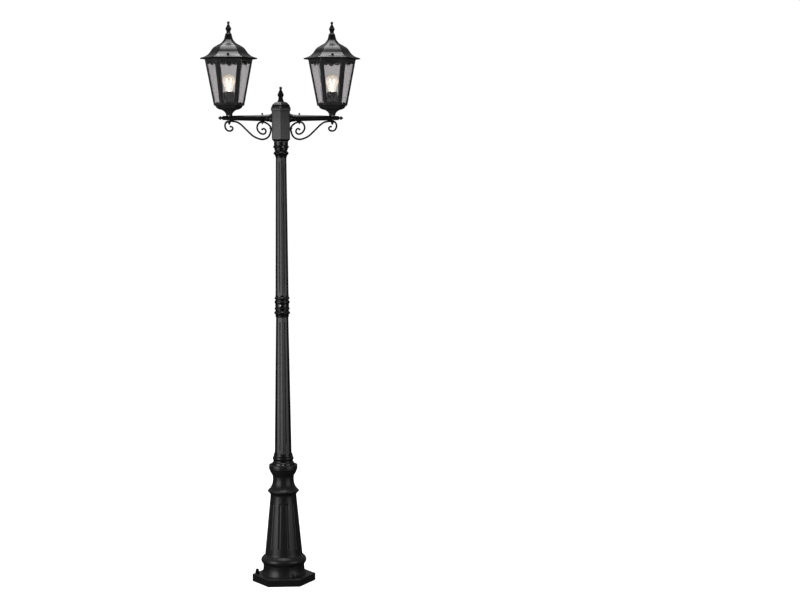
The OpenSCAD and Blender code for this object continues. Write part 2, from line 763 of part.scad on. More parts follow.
roof_stud_angles = [30, 150, 270];
roof_stud_r = 2;
roof_stud_ring = 76.5;
module at_roof_studs() {
    for (a = roof_stud_angles) rotate([0, 0, a]) translate([roof_stud_ring, 0, 0]) children();
}

module top_rim(side) {
    base = body_slant - 9.5;
    half = face_half(base) - post_leg - 0.1;
    top_half = face_half(body_slant) - post_leg - 0.1;
    color(black) at_lantern(side, body_z) {
        translate([0, 0, body_h]) {
            difference() {
                flat_sided([[body_r1 + 0.6, 0], [body_r1 + 0.6, rim_h]], 6);
                translate([0, 0, -overlap]) cylinder(r = 76, h = rim_h + 2 * overlap, $fn = 6);
            }
            at_roof_studs() cylinder(r = roof_stud_r, h = rim_h + boss_top + 1, $fn = 32);
        }
        difference() {
            on_faces() face_plate(concat(
                [[top_half, body_slant + 1], [-top_half, body_slant + 1]], lobed(half, base, -5.2, -10)
            ), 0.2, frame_t);
            translate([-150, -150, body_h + 1]) cube([300, 300, 20]);
        }
    }
}

module lampholder(side) {
    r = holder_d / 2;
    ribs = 18;
    color(plastic) at_lantern(side, holder_z) difference() {
        union() {
            rotate_extrude($fn = 96) polygon([
                [14.8, 0], [r - 4, 0], [r - 1.2, 4], [r - 1.2, holder_h - 2], [r - 2.2, holder_h],
                [16.4, holder_h], [14.8, holder_h - 2]
            ]);
            cylinder(r = 15, h = 12);
            for (k = [0 : ribs - 1]) rotate([0, 0, 360 * (k + 0.5) / ribs])
                translate([r - 2.4, -1, 6]) cube([2.4, 2, holder_h - 10]);
        }
        translate([0, 0, -overlap]) cylinder(r = stem_r + 0.1, h = 6, $fn = 48);
        translate([0, 0, 4]) cylinder(r = 3.4, h = 5, $fn = 48);
    }
}

module holder_contacts(side) {
    color(brass) at_lantern(side, holder_z + 12) {
        rotate_extrude() polygon([[13.7, 2], [14.6, 2], [14.6, 30], [13.7, 30]]);
        cylinder(r = 4, h = 3, $fn = 40);
        translate([9, -2, 0]) cube([5.2, 4, 2.4]);
    }
}

cap_foot = holder_z + 21;
module bulb_cap(side) {
    color(steel) at_lantern(side, cap_foot) rotate_extrude() polygon([
        [0, -4], [4.5, -4], [5.5, -2.5], [10.5, 0.5], [13.2, 3], [13.2, 27], [12.6, 28], [0, 28]
    ]);
}

// Radius and height pairs of the bulb's outer wall over its cap's rim.
bulb_outline = [
    [13, 0, 0], [13.6, 5, 0], [bulb_d / 2 - 0.5, 44, -1.5], [bulb_d / 2 - 0.5, 54, 0.5],
    [16, 72, 2.5], [0.01, 77.5, 1]
];
bulb_wall = 1;
bulb_z = cap_foot + 28;
module bulb_glass(side) {
    outer = turned(bulb_outline, 8);
    inner = [for (p = reversed(outer))
        [max(p[0] - bulb_wall, 0.01), p[1] - (p[1] > 50 ? bulb_wall : 0)]];
    color(clear) at_lantern(side, bulb_z) rotate_extrude($fn = 64)
        polygon(concat(outer, inner));
}

module filaments(side) {
    color("orange") at_lantern(side, bulb_z) {
        rotate_extrude($fn = 32)
            polygon(turned([[0, 0, 0], [7, 0, 0], [3, 14, -1], [2.4, 22, 0], [0, 22, 0]]));
        for (a = [45 : 90 : 315]) rotate([0, 0, a]) translate([2.5, 0, 19]) rotate([0, 14, 0])
            cylinder(r = 1, h = 38, $fn = 16);
    }
}

roof_outer = [
    [eave_r, 0, 0], [eave_r, 4.5, 0], [eave_r - 6.5, 6.4, 0.2], [73.6, 27.5, -3.6], [70.6, 31.8, 0],
    [45, 54.3, 3], [18.5, 77, -3.4], [13.8, 95, -0.5], [11.5, 100, 0.3], [9.2, 102.5, 0]
];
roof_inner = [
    [92, -1, 0], [92, 4, 0], [70, 22.5, -3.2], [66.5, 28, 0], [41, 50.5, 2.6], [15, 73, -3],
    [9, 86, 0]
];
roof_top = roof_outer[len(roof_outer) - 1][1];
boss_low = 2;
boss_top = 14.5;
module roof(side) {
    color(black) at_lantern(side, roof_z) difference() {
        union() {
            difference() {
                flat_sided(turned(roof_outer, 5), 6);
                flat_sided(turned(roof_inner, 5), 6);
            }
            at_roof_studs() translate([0, 0, boss_low]) cylinder(r = 6, h = boss_top - boss_low);
        }
        at_roof_studs() {
            translate([0, 0, boss_low - overlap]) cylinder(r = roof_stud_r + 0.4, h = boss_top);
            translate([0, 0, boss_top]) cylinder(r = 5.3, h = 15);
        }
        translate([0, 0, 80]) cylinder(r = 3.1, h = 40, $fn = 32);
    }
}

module roof_nuts(side) {
    color(black_metal) at_lantern(side, roof_z) at_roof_studs() translate([0, 0, boss_top])
        difference() {
            union() {
                cylinder(r = 4.8, h = 2.6, $fn = 6);
                rotate_extrude($fn = 32) polygon(turned([[0, 2.6, 0], [3.9, 2.6, 0], [3.4, 3.8, 0.2],
                    [0, 6.2, 0.7]]));
            }
            translate([0, 0, -overlap]) cylinder(r = roof_stud_r + 0.4, h = 3 + overlap, $fn = 32);
        }
}

module roof_finial(side) {
    color(black) at_lantern(side, roof_z + roof_top) {
        finial(9.4, 8.4, 12.6, 3.8, [5, 15.5, 34], 5.6);
        translate([0, 0, -11]) cylinder(r = 3, h = 12, $fn = 32);
    }
}

// ---------------------------------------------------------------- leads

lead_r = 1.4;
// Route of the right lead: out of the terminal block, along the arm and up the stem.
lead_route = [
    [block_size[0] / 2, 0, -53], [22.2, 0, -53], [24, 0, -51], [24.4, 0, -46], [24.2, 0, -28],
    [23.6, 0, -14], [23.6, 0, -6.8], [26.2, 0, -2], [31, 0, -0.5], [60, 0, 0], [110, 0, 0],
    [160, 0, 0], [190, 0, 0.2], [197, 0, 0.8], [202, 0, 3.2], [204.3, 0, 8], [204.5, 0, 14],
    [204.5, 0, 30], [204.5, 0, holder_z + 4 - arm_z]
];
lead_sides = 8;

module tube_along(route, r, n) {
    last = len(route) - 1;
    points = [
        for (i = [0 : last])
            let (d = route[min(i + 1, last)] - route[max(i - 1, 0)], t = d / norm(d), u = [-t[2], 0, t[0]])
            for (k = [0 : n - 1]) route[i] + r * (cos(360 * k / n) * u + [0, sin(360 * k / n), 0])
    ];
    sides = [
        for (i = [0 : last - 1], k = [0 : n - 1])
            [i * n + k, i * n + (k + 1) % n, (i + 1) * n + (k + 1) % n, (i + 1) * n + k]
    ];
    polyhedron(points, concat([[for (k = [n - 1 : -1 : 0]) k]], sides,
        [[for (k = [0 : n - 1]) last * n + k]]));
}

module lantern_leads() {
    color(plastic) translate([0, 0, arm_z]) both_sides() tube_along(lead_route, lead_r, lead_sides);
}

// ---------------------------------------------------------------- assembly

module left_stem() { stem(-1); }
module right_stem() { stem(1); }
module left_bowl() { bowl(-1); }
module right_bowl() { bowl(1); }
module left_corner_posts() { corner_posts(-1); }
module right_corner_posts() { corner_posts(1); }
module left_panes() { panes(-1); }
module right_panes() { panes(1); }
module left_lower_valance() { lower_valance(-1); }
module right_lower_valance() { lower_valance(1); }
module left_top_rim() { top_rim(-1); }
module right_top_rim() { top_rim(1); }
module left_lampholder() { lampholder(-1); }
module right_lampholder() { lampholder(1); }
module left_holder_contacts() { holder_contacts(-1); }
module right_holder_contacts() { holder_contacts(1); }
module left_bulb_cap() { bulb_cap(-1); }
module right_bulb_cap() { bulb_cap(1); }
module left_bulb_glass() { bulb_glass(-1); }
module right_bulb_glass() { bulb_glass(1); }
module left_filaments() { filaments(-1); }
module right_filaments() { filaments(1); }
module left_roof() { roof(-1); }
module right_roof() { roof(1); }
module left_roof_nuts() { roof_nuts(-1); }
module right_roof_nuts() { roof_nuts(1); }
module left_roof_finial() { roof_finial(-1); }
module right_roof_finial() { roof_finial(1); }

base_plate();
anchor_nuts();
anchor_washers();
cable_grommet();
cable_connector();
feed_cable();
pedestal();
cup_screws();
lower_ferrule();
lower_shaft();
joint_sleeve();
middle_collar();
middle_collar_screws();
upper_shaft();
top_collar();
top_collar_screws();
head_box();
head_gasket();
head_cap();
head_finial();
terminal_block();
terminal_screws();
left_arm();
right_arm();
arm_tips();
arm_nuts();
arm_straps();
left_scroll();
right_scroll();
scroll_screws();
stem_nuts();
lantern_leads();
left_stem();
right_stem();
left_bowl();
right_bowl();
left_corner_posts();
right_corner_posts();
left_panes();
right_panes();
left_lower_valance();
right_lower_valance();
left_top_rim();
right_top_rim();
left_lampholder();
right_lampholder();
left_holder_contacts();
right_holder_contacts();
left_bulb_cap();
right_bulb_cap();
left_bulb_glass();
right_bulb_glass();
left_filaments();
right_filaments();
left_roof();
right_roof();
left_roof_nuts();
right_roof_nuts();
left_roof_finial();
right_roof_finial();
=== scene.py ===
"""Looks of the two-light garden lamp post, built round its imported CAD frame.

Lengths of the object are in mm until a mesh is made; the camera, lights and materials are in metres.
"""
import json
import math

import bmesh
import bpy
from mathutils import Matrix, Vector


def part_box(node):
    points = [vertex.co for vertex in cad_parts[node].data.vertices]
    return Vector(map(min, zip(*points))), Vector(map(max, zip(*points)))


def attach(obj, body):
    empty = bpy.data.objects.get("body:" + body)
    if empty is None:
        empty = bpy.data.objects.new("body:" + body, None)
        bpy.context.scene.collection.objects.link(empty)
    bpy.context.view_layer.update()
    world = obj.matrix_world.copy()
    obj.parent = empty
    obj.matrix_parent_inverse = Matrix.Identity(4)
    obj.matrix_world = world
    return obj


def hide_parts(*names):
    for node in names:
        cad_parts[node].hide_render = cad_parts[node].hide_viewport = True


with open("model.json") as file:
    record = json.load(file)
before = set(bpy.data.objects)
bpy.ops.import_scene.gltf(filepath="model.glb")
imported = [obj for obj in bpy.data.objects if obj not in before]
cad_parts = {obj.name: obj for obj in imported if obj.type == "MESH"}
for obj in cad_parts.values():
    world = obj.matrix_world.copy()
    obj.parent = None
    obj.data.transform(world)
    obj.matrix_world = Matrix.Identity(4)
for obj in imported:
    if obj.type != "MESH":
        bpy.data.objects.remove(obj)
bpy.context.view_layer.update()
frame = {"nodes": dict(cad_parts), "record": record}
nodes = frame["nodes"]

MM = 0.001
SIDES = {"left": -1, "right": 1}


def level(node, end=0):
    """Height in mm of a CAD node's underside (end 0) or top (end 1)."""
    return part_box(node)[end].z / MM


def centre_x(node):
    low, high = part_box(node)
    return (low.x + high.x) / 2 / MM


# ---------------------------------------------------------------- outlines and sections

def turned(points, steps=8):
    """An outline of (radius, height, bulge) points: a bulge above 0 swells outward, below 0 hollows."""
    line = []
    for i, (r, z, bulge) in enumerate(points):
        if i == 0 or bulge == 0:
            line.append((r, z))
            continue
        r0, z0 = points[i - 1][:2]
        dr, dz = r - r0, z - z0
        long = math.hypot(dr, dz)
        for k in range(1, steps + 1):
            t = k / steps
            side = bulge * math.sin(math.pi * t) / long
            line.append((r0 + dr * t + dz * side, z0 + dz * t - dr * side))
    return line


def softened(line, radius=0.8, limit=28):
    """Rounds an outline's sharp turns with a small arc of three points."""
    out = [line[0]]
    for a, b, c in zip(line, line[1:], line[2:]):
        p, q, r = Vector(a), Vector(b), Vector(c)
        u, v = p - q, r - q
        if u.length < 1e-6 or v.length < 1e-6:
            continue
        turn = math.degrees(math.pi - u.angle(v))
        if turn < limit:
            out.append(b)
            continue
        reach = min(radius, 0.4 * u.length, 0.4 * v.length)
        start, end = q + u.normalized() * reach, q + v.normalized() * reach
        for t in (0, 0.33, 0.67, 1):
            point = start * (1 - t) ** 2 + q * (2 * t * (1 - t)) + end * t ** 2
            out.append((point.x, point.y))
    out.append(line[-1])
    return out


def round_section(count=96):
    angles = [2 * math.pi * k / count for k in range(count)]
    return lambda r, z: [(r * math.cos(a), r * math.sin(a)) for a in angles]


def flat_section(sides, turn, corner, share=0.35):
    """A polygon's section with rounded corners; r is its corner radius, corner the rounding's radius."""
    arc, along = 5, 3
    step = 2 * math.pi / sides

    def section(r, z):
        c = min(corner, share * r)
        reach = r - c / math.cos(step / 2)
        points = []
        for k in range(sides):
            a = turn + k * step
            for i in range(arc):
                b = a - step / 2 + step * i / (arc - 1)
                points.append((reach * math.cos(a) + c * math.cos(b),
                               reach * math.sin(a) + c * math.sin(b)))
            x0, y0 = points[-1]
            n = a + step
            x1 = reach * math.cos(n) + c * math.cos(n - step / 2)
            y1 = reach * math.sin(n) + c * math.sin(n - step / 2)
            points += [(x0 + (x1 - x0) * i / (along + 1), y0 + (y1 - y0) * i / (along + 1))
                       for i in range(1, along + 1)]
        return points
    return section


def as_circle(section):
    """A round section with as many points as another, each in the same direction."""
    def circle(r, z):
        return [(x * r / math.hypot(x, y), y * r / math.hypot(x, y)) for x, y in section(max(r, 1.0), z)]
    return circle


def rings(line, section, base=0.0, at=(0.0, 0.0)):
    return [[Vector((x + at[0], y + at[1], z + base)) for x, y in section(max(r, 0.02), z)] for r, z in line]


# ---------------------------------------------------------------- meshes

def linked(name, data):
    thing = bpy.data.objects.new(name, data)
    bpy.context.scene.collection.objects.link(thing)
    return thing


def add_piece(name, bm, material, body, replaced, sharp=32):
    """Turns a bmesh in millimetres into a finished object that rides on its body."""
    bmesh.ops.recalc_face_normals(bm, faces=bm.faces)
    bmesh.ops.scale(bm, vec=(MM, MM, MM), verts=bm.verts)
    mesh = bpy.data.meshes.new(name)
    bm.to_mesh(mesh)
    bm.free()
    for polygon in mesh.polygons:
        polygon.use_smooth = True
    mesh.set_sharp_from_angle(angle=math.radians(sharp))
    piece = linked(name, mesh)
    mesh.materials.append(material)
    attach(piece, body)
    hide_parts(*replaced)


def loft_into(bm, ring_list, loop=False):
    """Joins rings of equal length. A loop closes the last ring to the first, or else both ends are capped."""
    made = [[bm.verts.new(p) for p in ring] for ring in ring_list]
    pairs = list(zip(made, made[1:])) + ([(made[-1], made[0])] if loop else [])
    count = len(made[0])
    for a, b in pairs:
        for k in range(count):
            n = (k + 1) % count
            bm.faces.new((a[k], a[n], b[n], b[k]))
    if not loop:
        bm.faces.new(list(reversed(made[0])))
        bm.faces.new(made[-1])
    return [v for ring in made for v in ring]


def turn_verts(bm, verts, matrix):
    bmesh.ops.transform(bm, matrix=matrix, verts=verts)


def plate_into(bm, outline, thick, matrix):
    """A flat plate from an (x, y) outline, its front edges rounded, grown from z 0 down and then placed."""
    top = [bm.verts.new(Vector((x, y, 0))) for x, y in outline]
    foot = [bm.verts.new(Vector((x, y, -thick))) for x, y in outline]
    front = bm.faces.new(top)
    bm.faces.new(list(reversed(foot)))
    n = len(outline)
    for k in range(n):
        bm.faces.new((top[k], foot[k], foot[(k + 1) % n], top[(k + 1) % n]))
    made = bmesh.ops.bevel(bm, geom=list(front.edges), offset=0.5, segments=2, profile=0.6, affect="EDGES")
    turn_verts(bm, [v for v in set(top + foot) | set(made["verts"]) if v.is_valid], matrix)


# ---------------------------------------------------------------- materials

def new_material(name):
    """A material, its node tree, its shader and the object coordinates that its patterns follow."""
    material = bpy.data.materials.new(name)
    material.use_nodes = True
    tree = material.node_tree
    where = tree.nodes.new("ShaderNodeTexCoord").outputs["Object"]
    return material, tree, tree.nodes["Principled BSDF"], where


def add(tree, kind, **values):
    node = tree.nodes.new(kind)
    for key, value in values.items():
        if key in node.inputs:
            node.inputs[key].default_value = value
        else:
            setattr(node, key, value)
    return node


def noise(tree, where, scale, detail=4.0):
    node = add(tree, "ShaderNodeTexNoise", Scale=scale, Detail=detail, Roughness=0.55)
    tree.links.new(where, node.inputs["Vector"])
    return node.outputs["Fac"]


def ramp(tree, source, stops):
    node = tree.nodes.new("ShaderNodeValToRGB")
    elements = node.color_ramp.elements
    while len(elements) < len(stops):
        elements.new(0.5)
    for element, (place, colour) in zip(elements, stops):
        element.position = place
        element.color = (*colour, 1)
    tree.links.new(source, node.inputs["Fac"])
    return node.outputs["Color"]


def spread(tree, source, low, high, start=0.0):
    """Maps a value from start to 1 onto low to high."""
    node = tree.nodes.new("ShaderNodeMapRange")
    node.inputs["From Min"].default_value = start
    node.inputs["To Min"].default_value = low
    node.inputs["To Max"].default_value = high
    tree.links.new(source, node.inputs["Value"])
    return node.outputs["Result"]


def uneven_roughness(tree, bsdf, where, scale, low, high, detail=4.0):
    tree.links.new(spread(tree, noise(tree, where, scale, detail), low, high), bsdf.inputs["Roughness"])


def mixed(tree, factor, a, b):
    """Mixes two colours; the factor and either colour may be a socket."""
    node = tree.nodes.new("ShaderNodeMix")
    node.data_type = "RGBA"
    for socket, value in ((node.inputs[0], factor), (node.inputs[6], a), (node.inputs[7], b)):
        if isinstance(value, bpy.types.NodeSocket):
            tree.links.new(value, socket)
        else:
            socket.default_value = value if isinstance(value, float) else (*value, 1)
    return node.outputs[2]


def bump(tree, bsdf, height, strength, distance, normal=None):
    node = add(tree, "ShaderNodeBump", Strength=strength, Distance=distance)
    tree.links.new(height, node.inputs["Height"])
    if normal is not None:
        tree.links.new(normal, node.inputs["Normal"])
    tree.links.new(node.outputs["Normal"], bsdf.inputs["Normal"])
    return node.outputs["Normal"]


def coated(name, dark, light, rough_low, rough_high, grain, grain_depth, swell=0.000012, dust=0.06):
    """Powder coat: fine orange peel over slow waviness, cloudy tone, dust where it faces up, worn arrises."""
    material, tree, bsdf, where = new_material(name)
    geometry = tree.nodes.new("ShaderNodeNewGeometry")
    tone = mixed(tree, noise(tree, where, 9.0), dark, light)
    edge = ramp(tree, geometry.outputs["Pointiness"], [(0.505, (0, 0, 0)), (0.56, (1, 1, 1))])
    worn = add(tree, "ShaderNodeMath", operation="MULTIPLY")
    tree.links.new(edge, worn.inputs[0])
    tree.links.new(spread(tree, noise(tree, where, 60.0), 0.0, 0.5), worn.inputs[1])
    tone = mixed(tree, worn.outputs[0], tone, tuple(min(1.0, 3.2 * c) for c in light))
    up = tree.nodes.new("ShaderNodeSeparateXYZ")
    tree.links.new(geometry.outputs["Normal"], up.inputs[0])
    lying = add(tree, "ShaderNodeMath", operation="MULTIPLY", use_clamp=True)
    tree.links.new(up.outputs["Z"], lying.inputs[0])
    tree.links.new(spread(tree, noise(tree, where, 140.0, 6.0), -0.2 * dust, dust), lying.inputs[1])
    tone = mixed(tree, lying.outputs[0], tone, (0.09, 0.088, 0.085))
    tree.links.new(tone, bsdf.inputs["Base Color"])
    uneven_roughness(tree, bsdf, where, 35.0, rough_low, rough_high, 5.0)
    slow = bump(tree, bsdf, noise(tree, where, 55.0, 2.0), 0.6, swell)
    bump(tree, bsdf, noise(tree, where, grain, 3.0), 0.5, grain_depth, slow)
    bsdf.inputs["Specular IOR Level"].default_value = 0.5
    return material


def metal(name, colour, rough_low, rough_high):
    """Bare metal with a fine grain and a slight tarnish."""
    material, tree, bsdf, where = new_material(name)
    tarnish = mixed(tree, noise(tree, where, 180.0), colour, tuple(0.72 * c for c in colour))
    tree.links.new(tarnish, bsdf.inputs["Base Color"])
    uneven_roughness(tree, bsdf, where, 500.0, rough_low, rough_high)
    bump(tree, bsdf, noise(tree, where, 1500.0, 2.0), 0.35, 0.00003)
    bsdf.inputs["Metallic"].default_value = 1.0
    return material


def moulded(name, dark, light, rough_low, rough_high, grain=1100.0):
    """Moulded plastic or rubber with a fine spark-eroded grain."""
    material, tree, bsdf, where = new_material(name)
    tree.links.new(mixed(tree, noise(tree, where, 70.0), dark, light), bsdf.inputs["Base Color"])
    uneven_roughness(tree, bsdf, where, 240.0, rough_low, rough_high)
    bump(tree, bsdf, noise(tree, where, grain), 0.5, 0.00004)
    return material


def pane_glass():
    """Lightly smoked drawn glass: a soft ripple drawn out upward, tiny seeds and uneven polish."""
    material, tree, bsdf, where = new_material("smoked_rippled_glass")
    drawn = add(tree, "ShaderNodeMapping", Scale=(1.0, 1.0, 0.16))
    tree.links.new(where, drawn.inputs["Vector"])
    ripple = noise(tree, drawn.outputs["Vector"], 95.0, 2.0)
    tint = mixed(tree, ripple, (0.735, 0.72, 0.725), (0.79, 0.775, 0.78))
    tree.links.new(tint, bsdf.inputs["Base Color"])
    uneven_roughness(tree, bsdf, where, 30.0, 0.03, 0.11)
    wave = bump(tree, bsdf, ripple, 0.5, 0.0006)
    bump(tree, bsdf, noise(tree, where, 420.0, 3.0), 0.15, 0.0001, wave)
    bsdf.inputs["Transmission Weight"].default_value = 1.0
    bsdf.inputs["IOR"].default_value = 1.48
    return material


def bulb_glass():
    """Clear lit envelope: it glows warm up to where the filaments end, and thins out towards its top."""
    material, tree, bsdf, where = new_material("lit_bulb_glass")
    tree.links.new(mixed(tree, noise(tree, where, 40.0), (1.0, 0.985, 0.95), (0.97, 0.95, 0.91)),
                   bsdf.inputs["Base Color"])
    uneven_roughness(tree, bsdf, where, 120.0, 0.0, 0.05)
    parts = tree.nodes.new("ShaderNodeSeparateXYZ")
    tree.links.new(where, parts.inputs[0])
    height = tree.nodes.new("ShaderNodeMapRange")
    height.inputs["From Min"].default_value = level("right_bulb_glass") * MM
    height.inputs["From Max"].default_value = level("right_bulb_glass", 1) * MM
    tree.links.new(parts.outputs["Z"], height.inputs["Value"])
    glow = ramp(tree, height.outputs["Result"], [(0.0, (0.9, 0.9, 0.9)), (0.55, (1.0, 1.0, 1.0)),
                                                 (0.86, (0.42, 0.42, 0.42)), (1.0, (0.12, 0.12, 0.12))])
    strength = spread(tree, glow, 0.0, GLASS_GLOW)
    tree.links.new(strength, bsdf.inputs["Emission Strength"])
    bsdf.inputs["Emission Color"].default_value = (1.0, 0.86, 0.68, 1)
    bsdf.inputs["Transmission Weight"].default_value = 1.0
    bsdf.inputs["IOR"].default_value = 1.45
    return material


def filament():
    """Phosphor strips, mottled a little by the dies under the coat."""
    material, tree, bsdf, where = new_material("glowing_filament")
    dies = noise(tree, where, 900.0, 1.0)
    tree.links.new(mixed(tree, dies, (1.0, 0.72, 0.38), (1.0, 0.86, 0.6)), bsdf.inputs["Base Color"])
    tree.links.new(mixed(tree, dies, (1.0, 0.80, 0.52), (1.0, 0.90, 0.72)), bsdf.inputs["Emission Color"])
    tree.links.new(spread(tree, dies, 0.7 * FILAMENT_GLOW, FILAMENT_GLOW), bsdf.inputs["Emission Strength"])
    bsdf.inputs["Roughness"].default_value = 0.5
    return material


GLASS_GLOW = 0.2
FILAMENT_GLOW = 9.0
BLACK = coated("satin_black_powder_coat", (0.006, 0.006, 0.0065), (0.010, 0.010, 0.0105),
               0.26, 0.34, 900.0, 0.00003)
IRON = coated("black_coated_cast_iron", (0.006, 0.006, 0.0065), (0.011, 0.011, 0.0115),
              0.34, 0.46, 420.0, 0.00008, 0.00003, 0.12)
CASTING = coated("satin_pedestal_coat", (0.012, 0.012, 0.0125), (0.018, 0.018, 0.0185),
                 0.34, 0.44, 600.0, 0.00005, 0.00002, 0.1)
# Painted light: the lantern's bowl, angle posts, scallops and top frame take a lighter copy of the black
# coat, which stands in for the bulb's light falling on them.
BULB_LIT_FRAME_COAT = coated("lantern_coat_painted_bulb_light", (0.026, 0.026, 0.027), (0.036, 0.036, 0.037),
               0.30, 0.40, 900.0, 0.00003)
FIXING = coated("black_zinc_fixings", (0.007, 0.007, 0.0075), (0.012, 0.012, 0.0125),
                0.24, 0.34, 1300.0, 0.00002)
STEEL = metal("bright_stainless", (0.80, 0.80, 0.785), 0.42, 0.56)
BRASS = metal("plain_brass", (0.72, 0.50, 0.22), 0.22, 0.38)
CAP_METAL = metal("pressed_lamp_cap", (0.70, 0.69, 0.66), 0.2, 0.36)
RUBBER = moulded("black_rubber", (0.018, 0.018, 0.018), (0.03, 0.03, 0.029), 0.7, 0.86, 700.0)
PLASTIC = moulded("black_moulded_plastic", (0.008, 0.008, 0.009), (0.014, 0.014, 0.015), 0.36, 0.5)
IVORY = moulded("ivory_moulded_plastic", (0.62, 0.57, 0.44), (0.70, 0.66, 0.54), 0.4, 0.55)
PANE = pane_glass()
BULB = bulb_glass()
GLOW = filament()
SLOT_MATERIAL = {
    "black_coat": BLACK, "cast_iron_black": IRON, "black_fixings": FIXING, "bright_screws": STEEL,
    "brass": BRASS, "rubber_black": RUBBER, "plastic_black": PLASTIC, "terminal_ivory": IVORY,
    "pane_glass": PANE, "bulb_glass": BULB, "bulb_metal": CAP_METAL, "filament_glow": GLOW,
}


# ---------------------------------------------------------------- camera, lights, floor

def look(distance=6.8, height=1.671, pitch=4.457, yaw=3.995, roll=0.09, lens=76.33):
    """The photograph's view: straight in front, at eye height, the post left of the frame's middle."""
    data = bpy.data.cameras.new("camera")
    data.lens = lens
    data.sensor_width = 36
    data.clip_end = 100
    camera = linked("camera", data)
    camera.location = (0, -distance, height)
    camera.rotation_euler = (math.radians(90 - pitch), math.radians(roll), math.radians(-yaw))
    bpy.context.scene.camera = camera


def softbox(name, place, target, size, power):
    data = bpy.data.lights.new(name, "AREA")
    data.shape = "RECTANGLE"
    data.size, data.size_y = size
    data.energy = power
    light = linked(name, data)
    light.location = place
    light.rotation_euler = (Vector(target) - Vector(place)).to_track_quat("-Z", "Y").to_euler()


def studio():
    """White to the camera, grey through glass, and a dim room to everything that reflects."""
    scene = bpy.context.scene
    scene.view_settings.view_transform = "Standard"
    world = bpy.data.worlds.new("studio")
    scene.world = world
    world.use_nodes = True
    tree = world.node_tree
    tree.nodes.clear()
    direction = tree.nodes.new("ShaderNodeTexCoord").outputs["Generated"]
    parts = tree.nodes.new("ShaderNodeSeparateXYZ")
    tree.links.new(direction, parts.inputs[0])
    back = spread(tree, parts.outputs["Y"], 0.0, 1.0, start=-1.0)
    room = ramp(tree, back, [(0.0, (0.015, 0.015, 0.016)), (0.45, (0.03, 0.03, 0.032)),
                             (0.8, (0.15, 0.15, 0.148))])
    path = tree.nodes.new("ShaderNodeLightPath")
    dim = add(tree, "ShaderNodeBackground", Strength=1.0)
    tree.links.new(mixed(tree, path.outputs["Is Transmission Ray"], room, (0.67, 0.67, 0.67)),
                   dim.inputs["Color"])
    white = add(tree, "ShaderNodeBackground", Color=(1, 1, 1, 1), Strength=1.02)
    choose = tree.nodes.new("ShaderNodeMixShader")
    tree.links.new(path.outputs["Is Camera Ray"], choose.inputs[0])
    tree.links.new(dim.outputs[0], choose.inputs[1])
    tree.links.new(white.outputs[0], choose.inputs[2])
    out = tree.nodes.new("ShaderNodeOutputWorld")
    tree.links.new(choose.outputs[0], out.inputs[0])
    softbox("left_softbox", (-2.6, -2.0, 0.85), (0, 0, 0.85), (1.8, 2.4), 54)
    softbox("right_softbox", (2.7, -2.1, 0.8), (0, 0, 0.8), (1.8, 2.4), 25)
    softbox("top_softbox", (-0.2, 0.5, 4.4), (-0.1, 0.2, 1.9), (1.8, 3.4), 105)


def floor():
    """Pale to the camera and through glass, and dark to everything that reflects."""
    bm = bmesh.new()
    bmesh.ops.create_grid(bm, x_segments=24, y_segments=24, size=30)
    mesh = bpy.data.meshes.new("floor")
    bm.to_mesh(mesh)
    bm.free()
    piece = linked("floor", mesh)
    material, tree, bsdf, where = new_material("pale_floor")
    path = tree.nodes.new("ShaderNodeLightPath")
    either = add(tree, "ShaderNodeMath", operation="MAXIMUM")
    tree.links.new(path.outputs["Is Camera Ray"], either.inputs[0])
    tree.links.new(path.outputs["Is Transmission Ray"], either.inputs[1])
    seen = either.outputs[0]
    pale = mixed(tree, noise(tree, where, 3.0), (0.80, 0.80, 0.80), (0.84, 0.84, 0.84))
    tree.links.new(mixed(tree, seen, (0.03, 0.03, 0.03), pale), bsdf.inputs["Base Color"])
    bsdf.inputs["Roughness"].default_value = 0.9
    bsdf.inputs["Specular IOR Level"].default_value = 0.1
    bsdf.inputs["Emission Color"].default_value = (1, 1, 1, 1)
    tree.links.new(spread(tree, seen, 0.0, 0.97), bsdf.inputs["Emission Strength"])
    mesh.materials.append(material)


# ---------------------------------------------------------------- post

def tube_line(outer, bore):
    """Closed outline of a turned piece with a plain bore, to be lofted as a loop."""
    outer = softened(outer)
    return outer + [(bore, outer[-1][1]), (bore, outer[0][1])]


def base_plate():
    piece = nodes["base_plate"]
    edge = piece.modifiers.new("soft_edges", "BEVEL")
    edge.width = 0.9 * MM
    edge.segments = 3
    edge.limit_method = "ANGLE"
    edge.angle_limit = math.radians(30)
    edge.harden_normals = True


FLUTES = 12
CONE = ((74.9, 90.0), (52.6, 319.0))
PEDESTAL = [
    (88.5, 0, 0), (88.5, 5, 0), (83, 36, -2), (83, 42, 0), (85, 44, 0), (85, 73, 7), (81, 76, 0),
    (75.2, 86, -1.5), (74.9, 90, 0), (52.6, 319, 0), (52.6, 325, 0), (58.5, 334, -1.2), (58.5, 347, 5),
    (56, 349, 0), (42.4, 386, -3.5), (42.4, 392, 0), (50, 413, -2.5), (53.5, 421, 0), (54, 424, 0),
    (57.3, 430, 0), (57.3, 445, 0), (55.8, 448, 0.3),
]
PEDESTAL_INSIDE = [(50, 448), (50, 426), (36.6, 426), (36.6, 370), (24, 370), (24, 352), (45.5, 316),
                   (67.5, 90), (77, 60), (77, 0)]


def end_share(z, low, high, reach):
    """How open a round-ended groove is at height z: 0 outside it, 1 along its straight part."""
    if z <= low or z >= high:
        return 0.0
    inside = min(z - low, high - z)
    return 1.0 if inside >= reach else math.sqrt(1 - (1 - inside / reach) ** 2)


